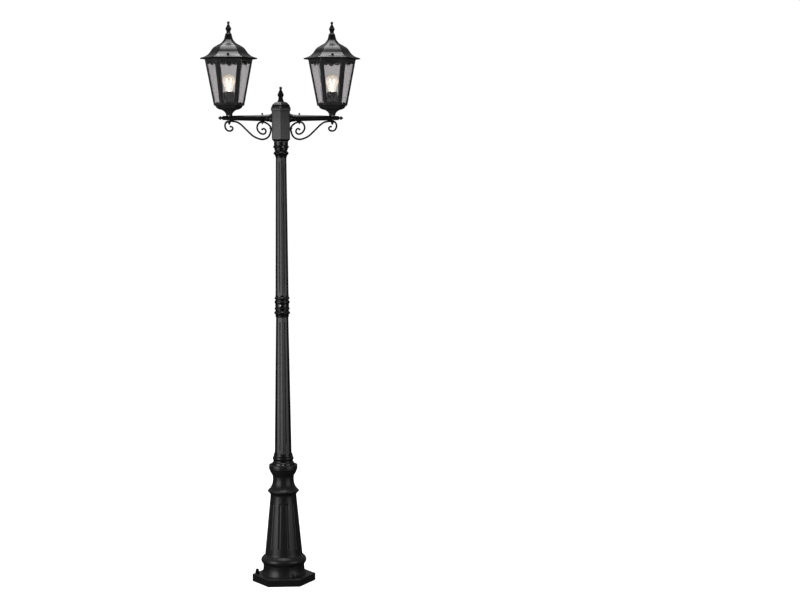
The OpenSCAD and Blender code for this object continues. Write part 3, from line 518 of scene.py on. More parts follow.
def pedestal():
    low, high, half_width, depth = 109.0, 296.0, 6.9, 3.6
    middle_r, least_share = 66, 0.35
    steps = (-1, -0.86, -0.64, -0.34, 0, 0.34, 0.64, 0.86, 1)
    step = 2 * math.pi / FLUTES

    def section(r, z):
        """Round, with flutes cut into the cone; columns follow the flutes all the way up."""
        on_cone = 88 < z < 322 and r > 50
        open_share = end_share(z, low, high, half_width) if on_cone else 0.0
        half = half_width / middle_r * max(open_share, least_share)
        if on_cone:
            half *= middle_r / r
        points = []
        for k in range(FLUTES):
            a = (k + 0.5) * step
            for s in steps:
                cut = depth * open_share * (1 - s * s) ** 0.55
                angle = a + s * half
                points.append(((r - cut) * math.cos(angle), (r - cut) * math.sin(angle)))
            for t in (0.3, 0.5, 0.7):
                angle = a + half + (step - 2 * half) * t
                points.append((r * math.cos(angle), r * math.sin(angle)))
        return points

    line = softened(turned(PEDESTAL), 1.0)
    (r0, z0), (r1, z1) = CONE
    ends = (0.02, 0.3, 1, 2.2, 3.8, 5.6, 7.1)
    rows = [low + d for d in ends] + [high - d for d in ends]
    rows += [low + ends[-1] + 14 * k for k in range(1, 13)]
    cone = [(r0 + (r1 - r0) * (z - z0) / (z1 - z0), z) for z in sorted(rows) if z0 < z < z1]
    cut = max(i for i, p in enumerate(line) if p[1] <= z0 + 1.5) + 1
    line = line[:cut] + [p for p in cone if p[1] > line[cut - 1][1]] + line[cut:]
    bm = bmesh.new()
    loft_into(bm, rings(line + PEDESTAL_INSIDE, section, level("pedestal")), loop=True)
    add_piece("pedestal_casting", bm, CASTING, "post", ["pedestal"])


def shaft(name, node, r0, r1, groove_low, groove_high):
    """Tapered octagonal tube, its arrises softened, with a round-ended groove down each face."""
    wall, width, depth, corner = 3.3, 5.0, 1.7, 1.6
    foot, top = level(node), level(node, 1)
    long = top - foot
    step = math.pi / 4
    columns = (-1.35, -1, -0.72, -0.36, 0, 0.36, 0.72, 1, 1.35)

    def section(r, z):
        open_share = end_share(z, groove_low, groove_high, width / 2)
        reach = r - corner / math.cos(step / 2)
        points = []
        for k in range(8):
            a = k * step
            for i in range(5):
                b = a - step / 2 + step * i / 4
                points.append((reach * math.cos(a) + corner * math.cos(b),
                               reach * math.sin(a) + corner * math.sin(b)))
            middle = a + step / 2
            face = reach * math.cos(step / 2) + corner
            for s in columns:
                half = width / 2 * max(open_share, 0.4)
                cut = depth * open_share * max(0.0, 1 - s * s) ** 0.55
                along = s * half
                points.append(((face - cut) * math.cos(middle) - along * math.sin(middle),
                               (face - cut) * math.sin(middle) + along * math.cos(middle)))
        return points

    def inside(r, z):
        return [(x * (r - wall) / r, y * (r - wall) / r) for x, y in section(r, z)]

    ends = (0.02, 0.2, 0.7, 1.4, 2.5)
    rows = [0, *(groove_low + d for d in ends), *(groove_high - d for d in ends), long]
    rows += [groove_low + 2.5 + (groove_high - groove_low - 5) * k / 12 for k in range(1, 12)]
    outer = [(r0 + (r1 - r0) * z / long, z) for z in sorted(rows)]
    bm = bmesh.new()
    inner = [(outer[-1][0] - wall, long), (outer[0][0] - wall, 0)]
    plain = rings(outer, section, foot)
    hollow = [[Vector((x, y, z + foot)) for x, y in section(r, -1)] for r, z in inner]
    loft_into(bm, plain + hollow, loop=True)
    add_piece(name, bm, BLACK, "post", [node])


def turned_piece(name, node, points, bore):
    bm = bmesh.new()
    loft_into(bm, rings(tube_line(turned(points, 10), bore), round_section(), level(node)), loop=True)
    add_piece(name, bm, BLACK, "post", [node])


def collars():
    turned_piece("shaft_ferrule", "lower_ferrule", [
        (48, 0, 0), (48, 14, 0), (44.6, 16, 0), (44.6, 29, 0), (43.2, 31, 0.2), (39.6, 37, -1),
        (39.6, 39, 0), (39.6, 55, 2.6), (38.4, 57, 0), (38.4, 61, 0), (37, 67, -0.4)], 35.5)
    turned_piece("joint_collar", "middle_collar", [
        (25.6, 0, 0), (26.8, 3, 0), (26.8, 10, 0), (27.5, 11.5, 0), (27.5, 24.5, 4.7), (26.9, 26, 0),
        (26.9, 29, 0), (29.9, 32, 0), (29.9, 37, 0.5), (27.6, 44, -0.6), (27.6, 52, 0), (29.9, 58, -0.6),
        (29.9, 65, 0.4), (26.6, 68, 0), (26.6, 71, 0), (27.5, 72, 0), (27.5, 81, 3.2), (27.3, 83, 0),
        (27, 88, 0)], 19.8)
    spigot = 50
    turned_piece("neck_collar", "top_collar", [
        (16.3, 0, 0), (16.3, spigot, 0), (21.6, spigot, 0), (22.8, spigot + 4, -0.3),
        (26, spigot + 12, -0.4), (26, spigot + 25, 4.6), (24.4, spigot + 27.5, 0),
        (24.4, spigot + 29, 0), (27.1, spigot + 33, -0.3), (27.1, spigot + 37, 0),
        (27.8, spigot + 38.5, 0), (27.8, spigot + 49.5, 3.6), (28.3, spigot + 51, 0),
        (28.4, spigot + 64, 0)], 11)


def finial_points(foot_r, neck_r, diamond_r, tip_r, levels):
    """Outline of a faceted diamond on a flared foot; its ball follows as plain rings."""
    a, b, c = levels
    return turned([(foot_r, 0, 0), (foot_r, 1.2, 0), (neck_r, a, -0.8), (diamond_r, b, -0.4),
                   (diamond_r, b + 1.5, 0), (tip_r, c, 0)], 5)


def finial(name, node, foot_z, at, body, stud_r, stud_long, foot_r, neck_r, diamond_r, tip_r, levels, ball_r):
    faceted = flat_section(8, math.pi / 8, 0.9)
    full = as_circle(faceted)
    bm = bmesh.new()
    body_line = softened(finial_points(foot_r, neck_r, diamond_r, tip_r, levels), 0.6)
    centre = levels[2] + 1.5 + ball_r * 0.85
    start = math.asin(min(1.0, tip_r * 0.92 / ball_r))
    ball = [(ball_r * math.sin(a), centre - ball_r * math.cos(a))
            for a in [start + (math.pi - start) * k / 12 for k in range(13)]]
    stud = [(stud_r, -stud_long), (stud_r, -0.01)]
    loft_into(bm, rings(stud, full, foot_z, at) + rings(body_line, faceted, foot_z, at)
              + rings(ball, full, foot_z, at))
    add_piece(name, bm, BLACK, body, [node], sharp=25)


# ---------------------------------------------------------------- head

HEX = 1 / math.cos(math.pi / 6)
HEAD_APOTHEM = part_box("head_box")[1].x / MM


def head():
    box_h, spigot_foot, box_floor = 121, -37, 13
    foot = level("head_gasket") - box_h
    outer = [(20, spigot_foot), (20, 0)]
    outside = turned([(28.4 * HEX, 0.05, 0), (28.6 * HEX, 1.5, 0), (HEAD_APOTHEM * HEX, 9.5, 0),
                      (HEAD_APOTHEM * HEX, box_h, 0)])
    inner_r = (HEAD_APOTHEM - 4) * HEX
    turn = math.pi / 6
    arris = flat_section(6, turn, 2.6)
    plain = as_circle(arris)
    bm = bmesh.new()
    line = rings(outer, plain, foot) + rings(softened(outside, 1.0), arris, foot)
    line += rings([(inner_r, box_h), (inner_r, box_floor)], arris, foot)
    line += rings([(12, box_floor), (12, spigot_foot)], plain, foot)
    loft_into(bm, line, loop=True)
    add_piece("head_casting", bm, BLACK, "post", ["head_box"])
    cap_foot = level("head_cap") + 8
    bm = bmesh.new()
    dome = turned([(38.2 * HEX, 0, 0), (39 * HEX, 3, 0.3), (39 * HEX, 11.5, 0.2), (36.4 * HEX, 15, 0.2),
                   (30 * HEX, 27, 1.8), (16 * HEX, 35.5, 2), (13.6 * HEX, 36.5, 0)], 8)
    skirt_out, skirt_in = (HEAD_APOTHEM - 4.5) * HEX, (HEAD_APOTHEM - 7) * HEX
    under = [(4.1, 36.5), (4.1, 32), (14 * HEX, 32), (27 * HEX, 24), (skirt_in, 14), (skirt_in, -8),
             (skirt_out, -8), (skirt_out, 0)]
    soft = flat_section(6, turn, 3.4, share=0.6)
    loft_into(bm, rings(softened(dome, 0.8) + under, soft, cap_foot), loop=True)
    add_piece("head_dome", bm, BLACK, "head_cap_body", ["head_cap"])
    finial("head_finial_casting", "head_finial", cap_foot + 36.5, (0, 0), "head_cap_body", 3.9, 18,
           13.5, 9.3, 13.8, 4.6, (16, 25.5, 47), 6)


def screw_into(bm, place, head_r, head_h, shank_r, shank_in):
    """A domed screw head with a hexagon socket, its shank behind it; place puts its +Z outward."""
    hexagon = flat_section(6, 0, 0.5)
    circle = as_circle(hexagon)
    socket = head_r * 0.5
    dome = turned([(head_r, 0, 0), (head_r, head_h * 0.35, 0), (socket * 1.25, head_h, head_h * 0.2)], 6)
    parts = rings([(shank_r, -shank_in), (shank_r, -0.01)], circle) + rings(softened(dome, 0.3), circle)
    parts += rings([(socket, head_h), (socket, head_h * 0.45)], hexagon)
    turn_verts(bm, loft_into(bm, parts), place)


def facing_out(angle, r, z):
    """Puts +Z along the radius at an angle in degrees, starting r from the post's axis."""
    return (Matrix.Rotation(math.radians(angle), 4, "Z") @ Matrix.Translation((r, 0, z))
            @ Matrix.Rotation(math.pi / 2, 4, "Y"))


def radial_screws(name, node, angles, r, head_r, head_h, shank_r, shank_in):
    low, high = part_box(node)
    bm = bmesh.new()
    for angle in angles:
        place = facing_out(angle, r, (low.z + high.z) / 2 / MM)
        screw_into(bm, place, head_r, head_h, shank_r, shank_in)
    add_piece(name, bm, STEEL, "post", [node])


def capped_nut_into(bm, place, r, hex_h, cap_r, top):
    """A capped nut: chamfered hexagon, then a dome."""
    hexagon = flat_section(6, 0, 0.5)
    circle = as_circle(hexagon)
    flat = r * math.cos(math.pi / 6)
    parts = rings([(flat * 0.98, 0)], circle) + rings([(r * 0.985, 0.5), (r * 0.985, hex_h - 0.9)], hexagon)
    parts += rings([(flat * 0.97, hex_h), (cap_r, hex_h + 0.05)], circle)
    rise = top - hex_h
    dome = [(cap_r * math.cos(a), hex_h + rise * (0.3 + 0.7 * math.sin(a)))
            for a in [math.radians(7.5 * k) for k in range(12)]]
    turn_verts(bm, loft_into(bm, parts + rings(dome, circle)), place)


def anchors():
    bolt_circle_r, first_angle = 108, 60
    foot, top = level("anchor_nuts"), level("anchor_nuts", 1)
    bm = bmesh.new()
    for k in range(3):
        angle = math.radians(first_angle + 120 * k)
        place = Matrix.Translation((bolt_circle_r * math.cos(angle), bolt_circle_r * math.sin(angle), foot))
        capped_nut_into(bm, place, 8.2, 10, 7, top - foot)
    add_piece("anchor_cap_nuts", bm, FIXING, "post", ["anchor_nuts"])


# ---------------------------------------------------------------- arms and scrolls

ARM_Z = (level("left_arm") + level("left_arm", 1)) / 2
ARM_ROOT_R, ARM_END_R = 13.0, 8.5
SOCKET_X, ARM_END_X = HEAD_APOTHEM + 23, 230.0
STRAP_X = 73.5


def arm_r(x):
    return ARM_ROOT_R + (ARM_END_R - ARM_ROOT_R) * (x - SOCKET_X) / (ARM_END_X - SOCKET_X)


def outward(side, x=0.0, z=None):
    """Puts +Z along the arm, away from the post."""
    return (Matrix.Translation((side * x, 0, ARM_Z if z is None else z))
            @ Matrix.Rotation(side * math.pi / 2, 4, "Y"))


def arms():
    bore = 6
    points = turned([
        (9.9, 26, 0), (9.9, HEAD_APOTHEM, 0), (18.2, HEAD_APOTHEM + 0.02, 0), (18.2, HEAD_APOTHEM + 2.5, 0),
        (16.6, HEAD_APOTHEM + 4, 0), (ARM_ROOT_R + 1.2, SOCKET_X - 4, -1), (ARM_ROOT_R, SOCKET_X, -0.3),
        (ARM_END_R, ARM_END_X, 0)], 10)
    for name, side in SIDES.items():
        bm = bmesh.new()
        tube = loft_into(bm, rings(tube_line(points, bore), round_section(72)), loop=True)
        turn_verts(bm, tube, outward(side))
        add_piece(f"{name}_arm_tube", bm, BLACK, "post", [f"{name}_arm"])


def arm_tips():
    faceted = flat_section(8, math.pi / 8, 0.7)
    circle = as_circle(faceted)
    line = [(7.5, 0.01), (7.4, 1), (6.8, 1.8), (4.3, 3), (4.5, 3.6), (8.2, 8.8), (8.4, 9.4), (8.3, 10.2),
            (4.6, 14.2), (1.2, 18), (0.5, 18.5)]
    bm = bmesh.new()
    for side in SIDES.values():
        plug = rings([(5.9, -12), (5.9, 0)], circle)
        turn_verts(bm, loft_into(bm, plug + rings(line, faceted)), outward(side, ARM_END_X))
    add_piece("arm_tip_castings", bm, BLACK, "post", ["arm_tips"], sharp=25)


def nib_into(bm, place, foot_r, long):
    """A small turned nib: a flared foot, a waist and a pointed bud."""
    line = turned([(foot_r, 0, 0), (foot_r * 0.98, 0.8, 0), (foot_r * 0.55, long * 0.34, -0.3),
                   (foot_r * 0.74, long * 0.52, 0.25), (0.6, long - 0.3, 0.2), (0.05, long, 0.05)], 6)
    turn_verts(bm, loft_into(bm, rings(line, round_section(40))), place)


def arm_straps():
    wide, thick, bar_half, bar_foot = 7.0, 2.2, 7.05, -18.6
    r = arm_r(STRAP_X) + 0.05
    bm = bmesh.new()
    for side in SIDES.values():
        path = [(r * math.cos(math.radians(a)), r * math.sin(math.radians(a))) for a in range(-20, 201, 10)]
        left_leg = [(-bar_half - 1.6, -r + 1.5), (-bar_half, -r - 1), (-bar_half, bar_foot + 1),
                    (-bar_half + 1, bar_foot)]
        path += left_leg + [(-y, z) for y, z in reversed(left_leg)]
        count = len(path)
        around = []
        for i, (y, z) in enumerate(path):
            before, after = Vector(path[i - 1]), Vector(path[(i + 1) % count])
            run = (after - before).normalized()
            out = Vector((run.y, -run.x))
            at = Vector((y, z))
            section = []
            for off, x in ((0, -wide / 2), (thick - 0.6, -wide / 2), (thick, -wide / 2 + 0.6),
                           (thick, wide / 2 - 0.6), (thick - 0.6, wide / 2), (0, wide / 2)):
                point = at + out * off
                section.append(Vector((side * STRAP_X + x, point.x, ARM_Z + point.y)))
            around.append(section)
        loft_into(bm, around, loop=True)
        x = side * STRAP_X
        nib_into(bm, Matrix.Translation((x, 0, ARM_Z + r + thick - 0.4)), 4.6, 7.2)
        under = Matrix.Translation((x, 0, ARM_Z + bar_foot - thick + 0.4))
        nib_into(bm, under @ Matrix.Rotation(math.pi, 4, "X"), 4.2, 5)
    add_piece("arm_strap_clamps", bm, BLACK, "post", ["arm_straps"])


# Centre line of the right scroll: x, and height over the arm's axis.
SCROLL_LINE = (
    (74, -45), (69, -41.5), (62.5, -45), (59.5, -53), (63, -60.5), (71, -63.5), (82, -60), (91, -50),
    (94.5, -38), (91.5, -26), (84, -17.8), (74, -15.6), (63, -17.5), (52, -23.5), (44, -31), (39.9, -38),
    (39.6, -44), (40.6, -53), (44.5, -66), (53, -77.5), (68, -84), (82, -83.5), (98, -78), (115, -67.5),
    (139, -44.5), (158, -26), (174, -16.2), (189, -13.2), (200, -12.5), (208, -12.6), (215.5, -16.5),
    (220.5, -24.5), (221, -35), (216.5, -45), (209, -50.5), (201, -51), (194, -48), (190.5, -41.5),
    (193, -35.5), (199, -34),
)


def curved(points, steps):
    """Catmull-Rom curve through the points."""
    last = len(points) - 1
    p = [Vector(q) for q in points]
    out = []
    for i in range(last):
        a, b, c, d = p[max(i - 1, 0)], p[i], p[i + 1], p[min(i + 2, last)]
        for k in range(steps):
            t = k / steps
            out.append(0.5 * (2 * b + (c - a) * t + (2 * a - 5 * b + 4 * c - d) * t * t
                              + (3 * b - 3 * c + d - a) * t ** 3))
    return out + [p[last]]


def scrolls():
    thick, depth, round_r, eye_r = 7.0, 13.8, 1.7, 4.2
    eye_chamfer, half_eye = 1.4, depth / 2
    line = curved(SCROLL_LINE, 6)
    corner_arc = (0, 30, 60, 90)
    last = len(line) - 1
    for name, side in SIDES.items():
        bm = bmesh.new()
        bars = []
        for i, point in enumerate(line):
            run = (line[min(i + 1, last)] - line[max(i - 1, 0)]).normalized()
            out = Vector((-run.y, run.x))
            near_end = min(i, last - i)
            swell = 1.0 - 0.16 * math.exp(-(near_end / 9) ** 2)
            half_t, half_d = thick / 2 * swell, depth / 2 * (1 - 0.1 * math.exp(-(near_end / 7) ** 2))
            section = []
            for cx, cy, start in ((1, 1, 0), (-1, 1, 90), (-1, -1, 180), (1, -1, 270)):
                for a in corner_arc:
                    angle = math.radians(start + a)
                    u = cx * (half_t - round_r) + round_r * math.cos(angle)
                    v = cy * (half_d - round_r) + round_r * math.sin(angle)
                    at = point + out * u
                    section.append(Vector((side * at.x, v, ARM_Z + at.y)))
            bars.append(section)
        loft_into(bm, bars)
        for end in (line[0], line[last]):
            eye = turned([(eye_r - eye_chamfer, -half_eye, 0), (eye_r, -half_eye + eye_chamfer, 0.5),
                          (eye_r, half_eye - eye_chamfer, 0), (eye_r - eye_chamfer, half_eye, 0.5)], 4)
            place = Matrix.Translation((side * end.x, 0, ARM_Z + end.y))
            place = place @ Matrix.Rotation(math.pi / 2, 4, "X")
            turn_verts(bm, loft_into(bm, rings(eye, round_section(32))), place)
        add_piece(f"{name}_scroll_bar", bm, BLACK, "post", [f"{name}_scroll"])


def scroll_screws():
    low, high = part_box("scroll_screws")
    z = (low.z + high.z) / 2 / MM
    head_x = HEAD_APOTHEM + 6
    square = flat_section(4, math.pi / 4, 0.5)
    circle = as_circle(square)
    bm = bmesh.new()
    for side in SIDES.values():
        parts = rings([(1.9, 29 - head_x), (1.9, -0.02)], circle)
        parts += rings([(4.3, 0), (4.6, 0.4), (4.6, 1.1), (4.3, 1.5), (0.9, 4.6), (0.4, 4.95)], square)
        turn_verts(bm, loft_into(bm, parts), outward(side, head_x, z))
    add_piece("scroll_pyramid_screws", bm, FIXING, "post", ["scroll_screws"], sharp=25)


def stem_nuts():
    top = level("stem_nuts", 1)
    hexagon = flat_section(6, 0, 0.6)
    circle = as_circle(hexagon)
    bm = bmesh.new()
    for name in SIDES:
        line = turned([(5.3, 0, 0), (5.3, -4.6, 0), (3.4, -8.4, -0.5), (1.1, -12, -0.2), (0.1, -12.4, 0)], 5)
        at = (centre_x(f"{name}_stem"), 0)
        parts = rings([(6.35, 0), (6.35, -3.4)], hexagon, top, at)
        loft_into(bm, parts + rings([(5.5, -4.2)] + line[2:], circle, top, at))
    add_piece("stem_pointed_nuts", bm, FIXING, "post", ["stem_nuts"])


# ---------------------------------------------------------------- lanterns

BODY_Z = level("right_bowl", 1)
BODY_H = 177.4
BODY_R0, BODY_R1 = 60.6, 94.2
LEAN = math.atan((BODY_R1 - BODY_R0) * math.cos(math.pi / 6) / BODY_H)
SLANT = BODY_H / math.cos(LEAN)
FRAME_T, LEG, PANE_T = 2.5, 11.0, 3.0
BOSS_LOW, BOSS_TOP, STUD_RING = 2, 14.5, 76.5


def body_r(z):
    return BODY_R0 + (BODY_R1 - BODY_R0) * z / BODY_H


def face_half(up):
    return body_r(up * math.cos(LEAN)) / 2


def on_face(k, x):
    """Puts X outward, Y along and Z up the lantern's face k."""
    return (Matrix.Translation((x, 0, BODY_Z)) @ Matrix.Rotation(math.radians(60 * k + 30), 4, "Z")
            @ Matrix.Translation((BODY_R0 * math.cos(math.pi / 6), 0, 0)) @ Matrix.Rotation(LEAN, 4, "Y"))


UPRIGHT = Matrix(((0, 0, 1, 0), (1, 0, 0, 0), (0, 1, 0, 0), (0, 0, 0, 1)))


def bowl(name, x):
    soft = flat_section(6, 0, 2.2, share=0.4)
    circle = as_circle(soft)
    foot = level(f"{name}_bowl")
    outer = turned([(13.2, 0, 0), (13.2, 5, 0), (14.6, 9, 0), (27, 20.6, -1.2), (37.5, 23.6, -0.6),
                    (47, 28.1, 0.3), (53.4, 36.6, 1), (57, 38.4, -0.4), (60.6, 40.4, 0), (60.6, 41, 0)])
    inner = [(50, 41), (50, 38.6), (47, 34.6), (41, 30.6), (20, 25.6)]
    at = (x, 0)
    bm = bmesh.new()
    parts = rings(softened(outer, 0.9), soft, foot, at) + rings(inner, soft, foot, at)
    parts += rings([(5.1, 23), (5.1, 0)], circle, foot, at)
    loft_into(bm, parts, loop=True)
    add_piece(f"{name}_bowl_casting", bm, BULB_LIT_FRAME_COAT, "post", [f"{name}_bowl"])


def corner_posts(name, x):
    """Six pressed angle posts, each with a rounded arris and square-ended legs."""
    legs = [Vector((-0.5, s * math.sin(math.pi / 3))) for s in (1, -1)]
    inward = [Vector((-math.sin(math.pi / 3), -s * 0.5)) for s in (1, -1)]
    arris = 1.4
    bm = bmesh.new()
    for k in range(6):
        turn = Matrix.Rotation(math.radians(60 * k), 2)
        stack = []
        for i in range(13):
            z = BODY_H * i / 12
            tip = Vector((body_r(z), 0))
            centre = tip - Vector((arris / math.sin(math.pi / 3), 0))
            section = [tip + legs[0] * LEG + inward[0] * FRAME_T, tip + legs[0] * LEG + inward[0] * 0.5,
                       tip + legs[0] * (LEG - 0.5)]
            section += [centre + arris * Vector((math.cos(math.radians(a)), math.sin(math.radians(a))))
                        for a in (30, 15, 0, -15, -30)]
            section += [tip + legs[1] * (LEG - 0.5), tip + legs[1] * LEG + inward[1] * 0.5,
                        tip + legs[1] * LEG + inward[1] * FRAME_T,
                        tip - Vector((FRAME_T / math.sin(math.pi / 3), 0))]
            placed = [turn @ p for p in section]
            stack.append([Vector((p.x + x, p.y, z + BODY_Z)) for p in placed])
        loft_into(bm, stack)
    add_piece(f"{name}_angle_posts", bm, BULB_LIT_FRAME_COAT, "post", [f"{name}_corner_posts"])


def panes(name, x):
    """Six drawn panes, each a fine grid that waves a fraction of a millimetre."""
    edge, low, high = 4.5, 1.0, SLANT - 1.2
    back = FRAME_T + 0.1
    columns, rows = 14, 30
    bm = bmesh.new()
    for k in range(6):
        place = on_face(k, x)
        sheets = []
        for depth in (back, back + PANE_T):
            grid = []
            for j in range(rows + 1):
                up = low + (high - low) * j / rows
                half = face_half(up) - edge
                line = []
                for i in range(columns + 1):
                    y = half * (2 * i / columns - 1)
                    wave = 0.12 * math.sin(y * 0.19 + k * 2.1) * math.sin(up * 0.045 + k)
                    wave *= math.sin(math.pi * i / columns) * math.sin(math.pi * j / rows)
                    line.append(bm.verts.new(place @ Vector((-depth + wave, y, up))))
                grid.append(line)
            sheets.append(grid)
        front, rear = sheets
        for j in range(rows):
            for i in range(columns):
                bm.faces.new((front[j][i], front[j][i + 1], front[j + 1][i + 1], front[j + 1][i]))
                bm.faces.new((rear[j][i + 1], rear[j][i], rear[j + 1][i], rear[j + 1][i + 1]))
        rim = [(j, 0) for j in range(rows, 0, -1)] + [(0, i) for i in range(columns)]
        rim += [(j, columns) for j in range(rows)] + [(rows, i) for i in range(columns, 0, -1)]
        for (a, b), (c, d) in zip(rim, rim[1:] + rim[:1]):
            bm.faces.new((front[c][d], front[a][b], rear[a][b], rear[c][d]))
    add_piece(f"{name}_glazing", bm, PANE, "post", [f"{name}_panes"], sharp=40)


def lobes(half, base, side_drop, middle_drop):
    """Edge of a row of three lobes, with a cusp between neighbours, from one side to the other."""
    steps = 12
    out = []
    for k in range(3 * steps + 1):
        u = k / steps
        lobe = min(int(u), 2)
        drop = middle_drop if lobe == 1 else side_drop
        out.append((-half + 2 * half * k / (3 * steps), base + drop * math.sin(math.pi * (u - lobe)) ** 0.8))
    return out


def valances(name, x):
    base = 6
    half, foot_half = face_half(base) - LEG - 0.1, face_half(0.6) - LEG - 0.1
    lower = [(foot_half, 0.6), (-foot_half, 0.6)] + lobes(half, base, 2.5, 6)
    bm = bmesh.new()
    for k in range(6):
        plate_into(bm, lower, FRAME_T - 0.2, on_face(k, x) @ Matrix.Translation((-0.2, 0, 0)) @ UPRIGHT)
    add_piece(f"{name}_lower_scallops", bm, BULB_LIT_FRAME_COAT, "post", [f"{name}_lower_valance"])


def top_rim(name, x):
    base = SLANT - 9.5
    half, top_half = face_half(base) - LEG - 0.1, face_half(SLANT) - LEG - 0.1
    upper = [(top_half, SLANT - 0.1), (-top_half, SLANT - 0.1)] + lobes(half, base, -5.2, -10)
    rim_r, hole_r, rim_h = BODY_R1 + 0.6, 76, 4.3
    soft, inner = flat_section(6, 0, 1.5), flat_section(6, 0, 1.0)
    at = (x, 0)
    bm = bmesh.new()
    for k in range(6):
        plate_into(bm, upper, FRAME_T - 0.2, on_face(k, x) @ Matrix.Translation((-0.2, 0, 0)) @ UPRIGHT)
    outside = softened([(rim_r - 0.6, 0.01), (rim_r, 0.5), (rim_r, rim_h - 0.5), (rim_r - 0.6, rim_h)], 0.3)
    loft_into(bm, rings(outside, soft, BODY_Z + BODY_H, at)
              + rings([(hole_r, rim_h), (hole_r, 0.01)], inner, BODY_Z + BODY_H, at), loop=True)
    for stud_x, stud_y in roof_studs(x):
        stud = softened([(2, -0.5), (2, rim_h + BOSS_TOP), (1.4, rim_h + BOSS_TOP + 0.8)], 0.3)
        loft_into(bm, rings(stud, round_section(28), BODY_Z + BODY_H, (stud_x, stud_y)))
    add_piece(f"{name}_top_frame", bm, BULB_LIT_FRAME_COAT, "post", [f"{name}_top_rim"])


def roof_studs(x):
    angles = [math.radians(a) for a in (30, 150, 270)]
    return [(x + STUD_RING * math.cos(a), STUD_RING * math.sin(a)) for a in angles]


def lampholder(name, x):
    """Screw lampholder in black plastic: a ribbed skirt under a plain lip."""
    foot, top = level(f"{name}_lampholder"), level(f"{name}_lampholder", 1)
    r, h, ribs, bore = 22.0, top - foot, 18, 14.8
    skirt_r = r - 1.5
    rib_steps = (0, 0.7, 1, 1, 0.7, 0, 0, 0)

    def section(radius, z):
        """Round, with ribs that rise out of the skirt and sink back below the lip."""
        rise, fall = (min(1, max(0, d / 2.5)) for d in (z - 5, h - 4.5 - z))
        grip = 1.4 * rise * fall if radius > 17 else 0
        count = ribs * len(rib_steps)
        radii = [radius + grip * rib_steps[i % len(rib_steps)] for i in range(count)]
        angles = [2 * math.pi * i / count for i in range(count)]
        return [(q * math.cos(a), q * math.sin(a)) for q, a in zip(radii, angles)]

    low_edge = [(5.3, 0), (r - 4, 0), (skirt_r, 4)]
    high_edge = [(skirt_r, h - 2), (r - 2.4, h), (bore + 1.6, h)]
    whole = softened(low_edge + high_edge + [(bore, h - 2)], 0.8)
    skirt = [p for p in whole if p[0] > r - 2 and 3.9 < p[1] < h - 1.9]
    skirt += [(skirt_r, z) for z in (5, 6, 7.5, h - 7, h - 5.5, h - 4.5)]
    skirt.sort(key=lambda p: p[1])
    lip = softened(high_edge + [(bore, h - 2), (bore, 12)], 0.8)[1:]
    line = softened(low_edge, 0.8)[:-1] + skirt + lip + [(bore, 12), (5.3, 12)]
    bm = bmesh.new()
    loft_into(bm, rings(line, section, foot, (x, 0)), loop=True)
    add_piece(f"{name}_holder_body", bm, PLASTIC, "post", [f"{name}_lampholder"])


def bulb(name, x):
    body = f"{name}_bulb"
    at = (x, 0)
    foot = level(f"{name}_bulb_cap") + 4
    thread_foot, pitch = 5, 3.6
    thread = [(12.6 + 0.55 * math.cos(2 * math.pi * 0.3 * k / pitch), thread_foot + 0.3 * k)
              for k in range(61)]
    line = [(1, -4), (4.3, -4), (5, -3.4), (5.6, -2.4), (10.3, 0.5), (12.6, 2.6), (13.15, 4.2)] + thread
    line += [(13.1, 23.6), (13.1, 26.8), (12.7, 27.8), (9, 27.95)]
    bm = bmesh.new()
    loft_into(bm, rings(line, round_section(72), foot, at))
    add_piece(f"{name}_screw_cap", bm, CAP_METAL, body, [f"{name}_bulb_cap"])

    z0 = level(f"{name}_bulb_glass")
    wall = 0.9
    outline = turned([(13, 0.02, 0), (13.6, 5, 0), (25.5, 44, -1.5), (25.5, 54, 0.5), (16, 72, 2.5),
                      (0.05, 77.5, 1)], 14)
    inner = [(max(r - wall, 0.03), z - (wall if z > 50 else 0)) for r, z in reversed(outline)]
    bm = bmesh.new()
    loft_into(bm, rings(outline + inner, round_section(64), z0, at), loop=True)
    add_piece(f"{name}_bulb_envelope", bm, BULB, body, [f"{name}_bulb_glass"], sharp=60)

    bm = bmesh.new()
    mount = turned([(7, 0.05, 0), (6.2, 3, 0), (2.6, 14, -1), (2.2, 20, 0), (1.4, 22, 0.2)], 6)
    loft_into(bm, rings(mount, round_section(32), z0, at))
    for k in range(4):
        spin = Matrix.Rotation(math.radians(45 + 90 * k), 4, "Z")
        place = (Matrix.Translation((x, 0, z0)) @ spin @ Matrix.Translation((2.5, 0, 19))
                 @ Matrix.Rotation(math.radians(14), 4, "Y"))
        rod = softened([(0.5, 0), (1.05, 0.5), (1.05, 37.5), (0.5, 38)], 0.3)
        turn_verts(bm, loft_into(bm, rings(rod, round_section(16))), place)
    add_piece(f"{name}_filament_rods", bm, GLOW, body, [f"{name}_filaments"])


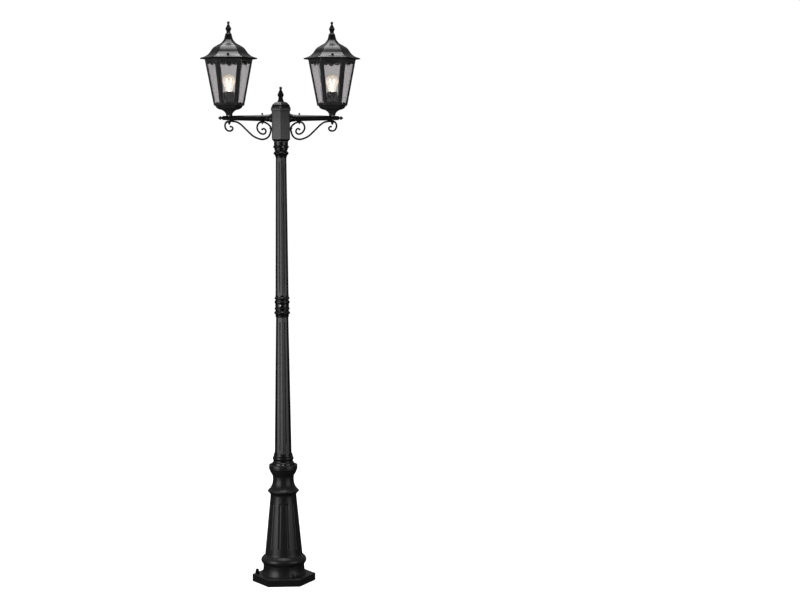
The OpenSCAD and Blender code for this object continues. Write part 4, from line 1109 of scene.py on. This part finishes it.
def roof(name, x):
    """Ogee roof of six cast faces: two stepped creases, soft hips, a rolled eave, hollow underneath."""
    foot = level(f"{name}_roof")
    soft = flat_section(6, 0, 2.4, share=0.5)
    circle = as_circle(soft)
    apex, inside_top = 102.5, 86
    outer = turned([(112.6, 0, 0), (113.3, 0.8, 0), (113.3, 3.6, 0), (112.2, 4.6, 0), (106.9, 6.4, 0.2),
                    (73.8, 27.2, -3.6), (73.6, 28.6, 0), (71, 31.2, 0), (70.4, 32.6, 0), (46.4, 53.4, 2.9),
                    (46.0, 54.8, 0), (18.5, 77, -3.4), (13.8, 95, -0.5), (11.5, 100, 0.3), (9.2, apex, 0)], 9)
    inner = turned([(92, 0, 0), (92, 4, 0), (70, 22.5, -3.2), (66.5, 28, 0), (41, 50.5, 2.6), (15, 73, -3),
                    (9, inside_top, 0)], 8)
    at = (x, 0)
    bm = bmesh.new()
    parts = rings(softened(outer, 0.6, 40), soft, foot, at)
    parts += rings([(3.1, apex), (3.1, inside_top)], circle, foot, at)
    parts += rings(list(reversed(inner)), soft, foot, at)
    loft_into(bm, parts, loop=True)
    for stud_at in roof_studs(x):
        boss = softened([(5.9, BOSS_LOW), (5.9, BOSS_TOP - 0.4), (5.3, BOSS_TOP), (2.5, BOSS_TOP)], 0.4)
        loft_into(bm, rings(boss + [(2.5, BOSS_LOW)], round_section(36), foot, stud_at), loop=True)
    body = f"{name}_roof_body"
    add_piece(f"{name}_roof_casting", bm, BLACK, body, [f"{name}_roof"], sharp=38)
    bm = bmesh.new()
    nut_foot = level(f"{name}_roof_nuts")
    for stud_x, stud_y in roof_studs(x):
        capped_nut_into(bm, Matrix.Translation((stud_x, stud_y, nut_foot)), 4.8, 2.6, 3.9, 6.2)
    add_piece(f"{name}_roof_cap_nuts", bm, FIXING, body, [f"{name}_roof_nuts"])
    finial(f"{name}_roof_spire", f"{name}_roof_finial", foot + apex, at, body, 3, 11,
           9.4, 8.4, 12.6, 3.8, (5, 15.5, 34), 5.6)


def lantern(name):
    x = centre_x(f"{name}_bowl")
    bowl(name, x)
    corner_posts(name, x)
    panes(name, x)
    valances(name, x)
    top_rim(name, x)
    lampholder(name, x)
    bulb(name, x)
    roof(name, x)


look()
studio()
floor()
base_plate()
pedestal()
shaft("lower_shaft_tube", "lower_shaft", 36.2, 24.9, 135, 656)
shaft("upper_shaft_tube", "upper_shaft", 26.4, 21.4, 13, 533)
collars()
head()
anchors()
radial_screws("cup_grub_screws", "cup_screws", (30, 150, 270), 44.6, 4, 2.8, 2.5, 8.8)
radial_screws("joint_collar_screws", "middle_collar_screws", (75, 255), 27.6, 4.2, 2.4, 2.5, 12)
radial_screws("neck_collar_screws", "top_collar_screws", (45, 165, 285), 31.3, 3, 1.6, 2, 11.1)
arms()
arm_tips()
arm_straps()
scrolls()
scroll_screws()
stem_nuts()
for side_name in SIDES:
    lantern(side_name)

# every CAD node that still shows takes its slot's procedural material
slot_of = {p["node"]: p["material_slot"] for p in frame["record"]["subparts"]}
for name, node in nodes.items():
    node.data.materials.clear()
    node.data.materials.append(SLOT_MATERIAL[slot_of[name]])
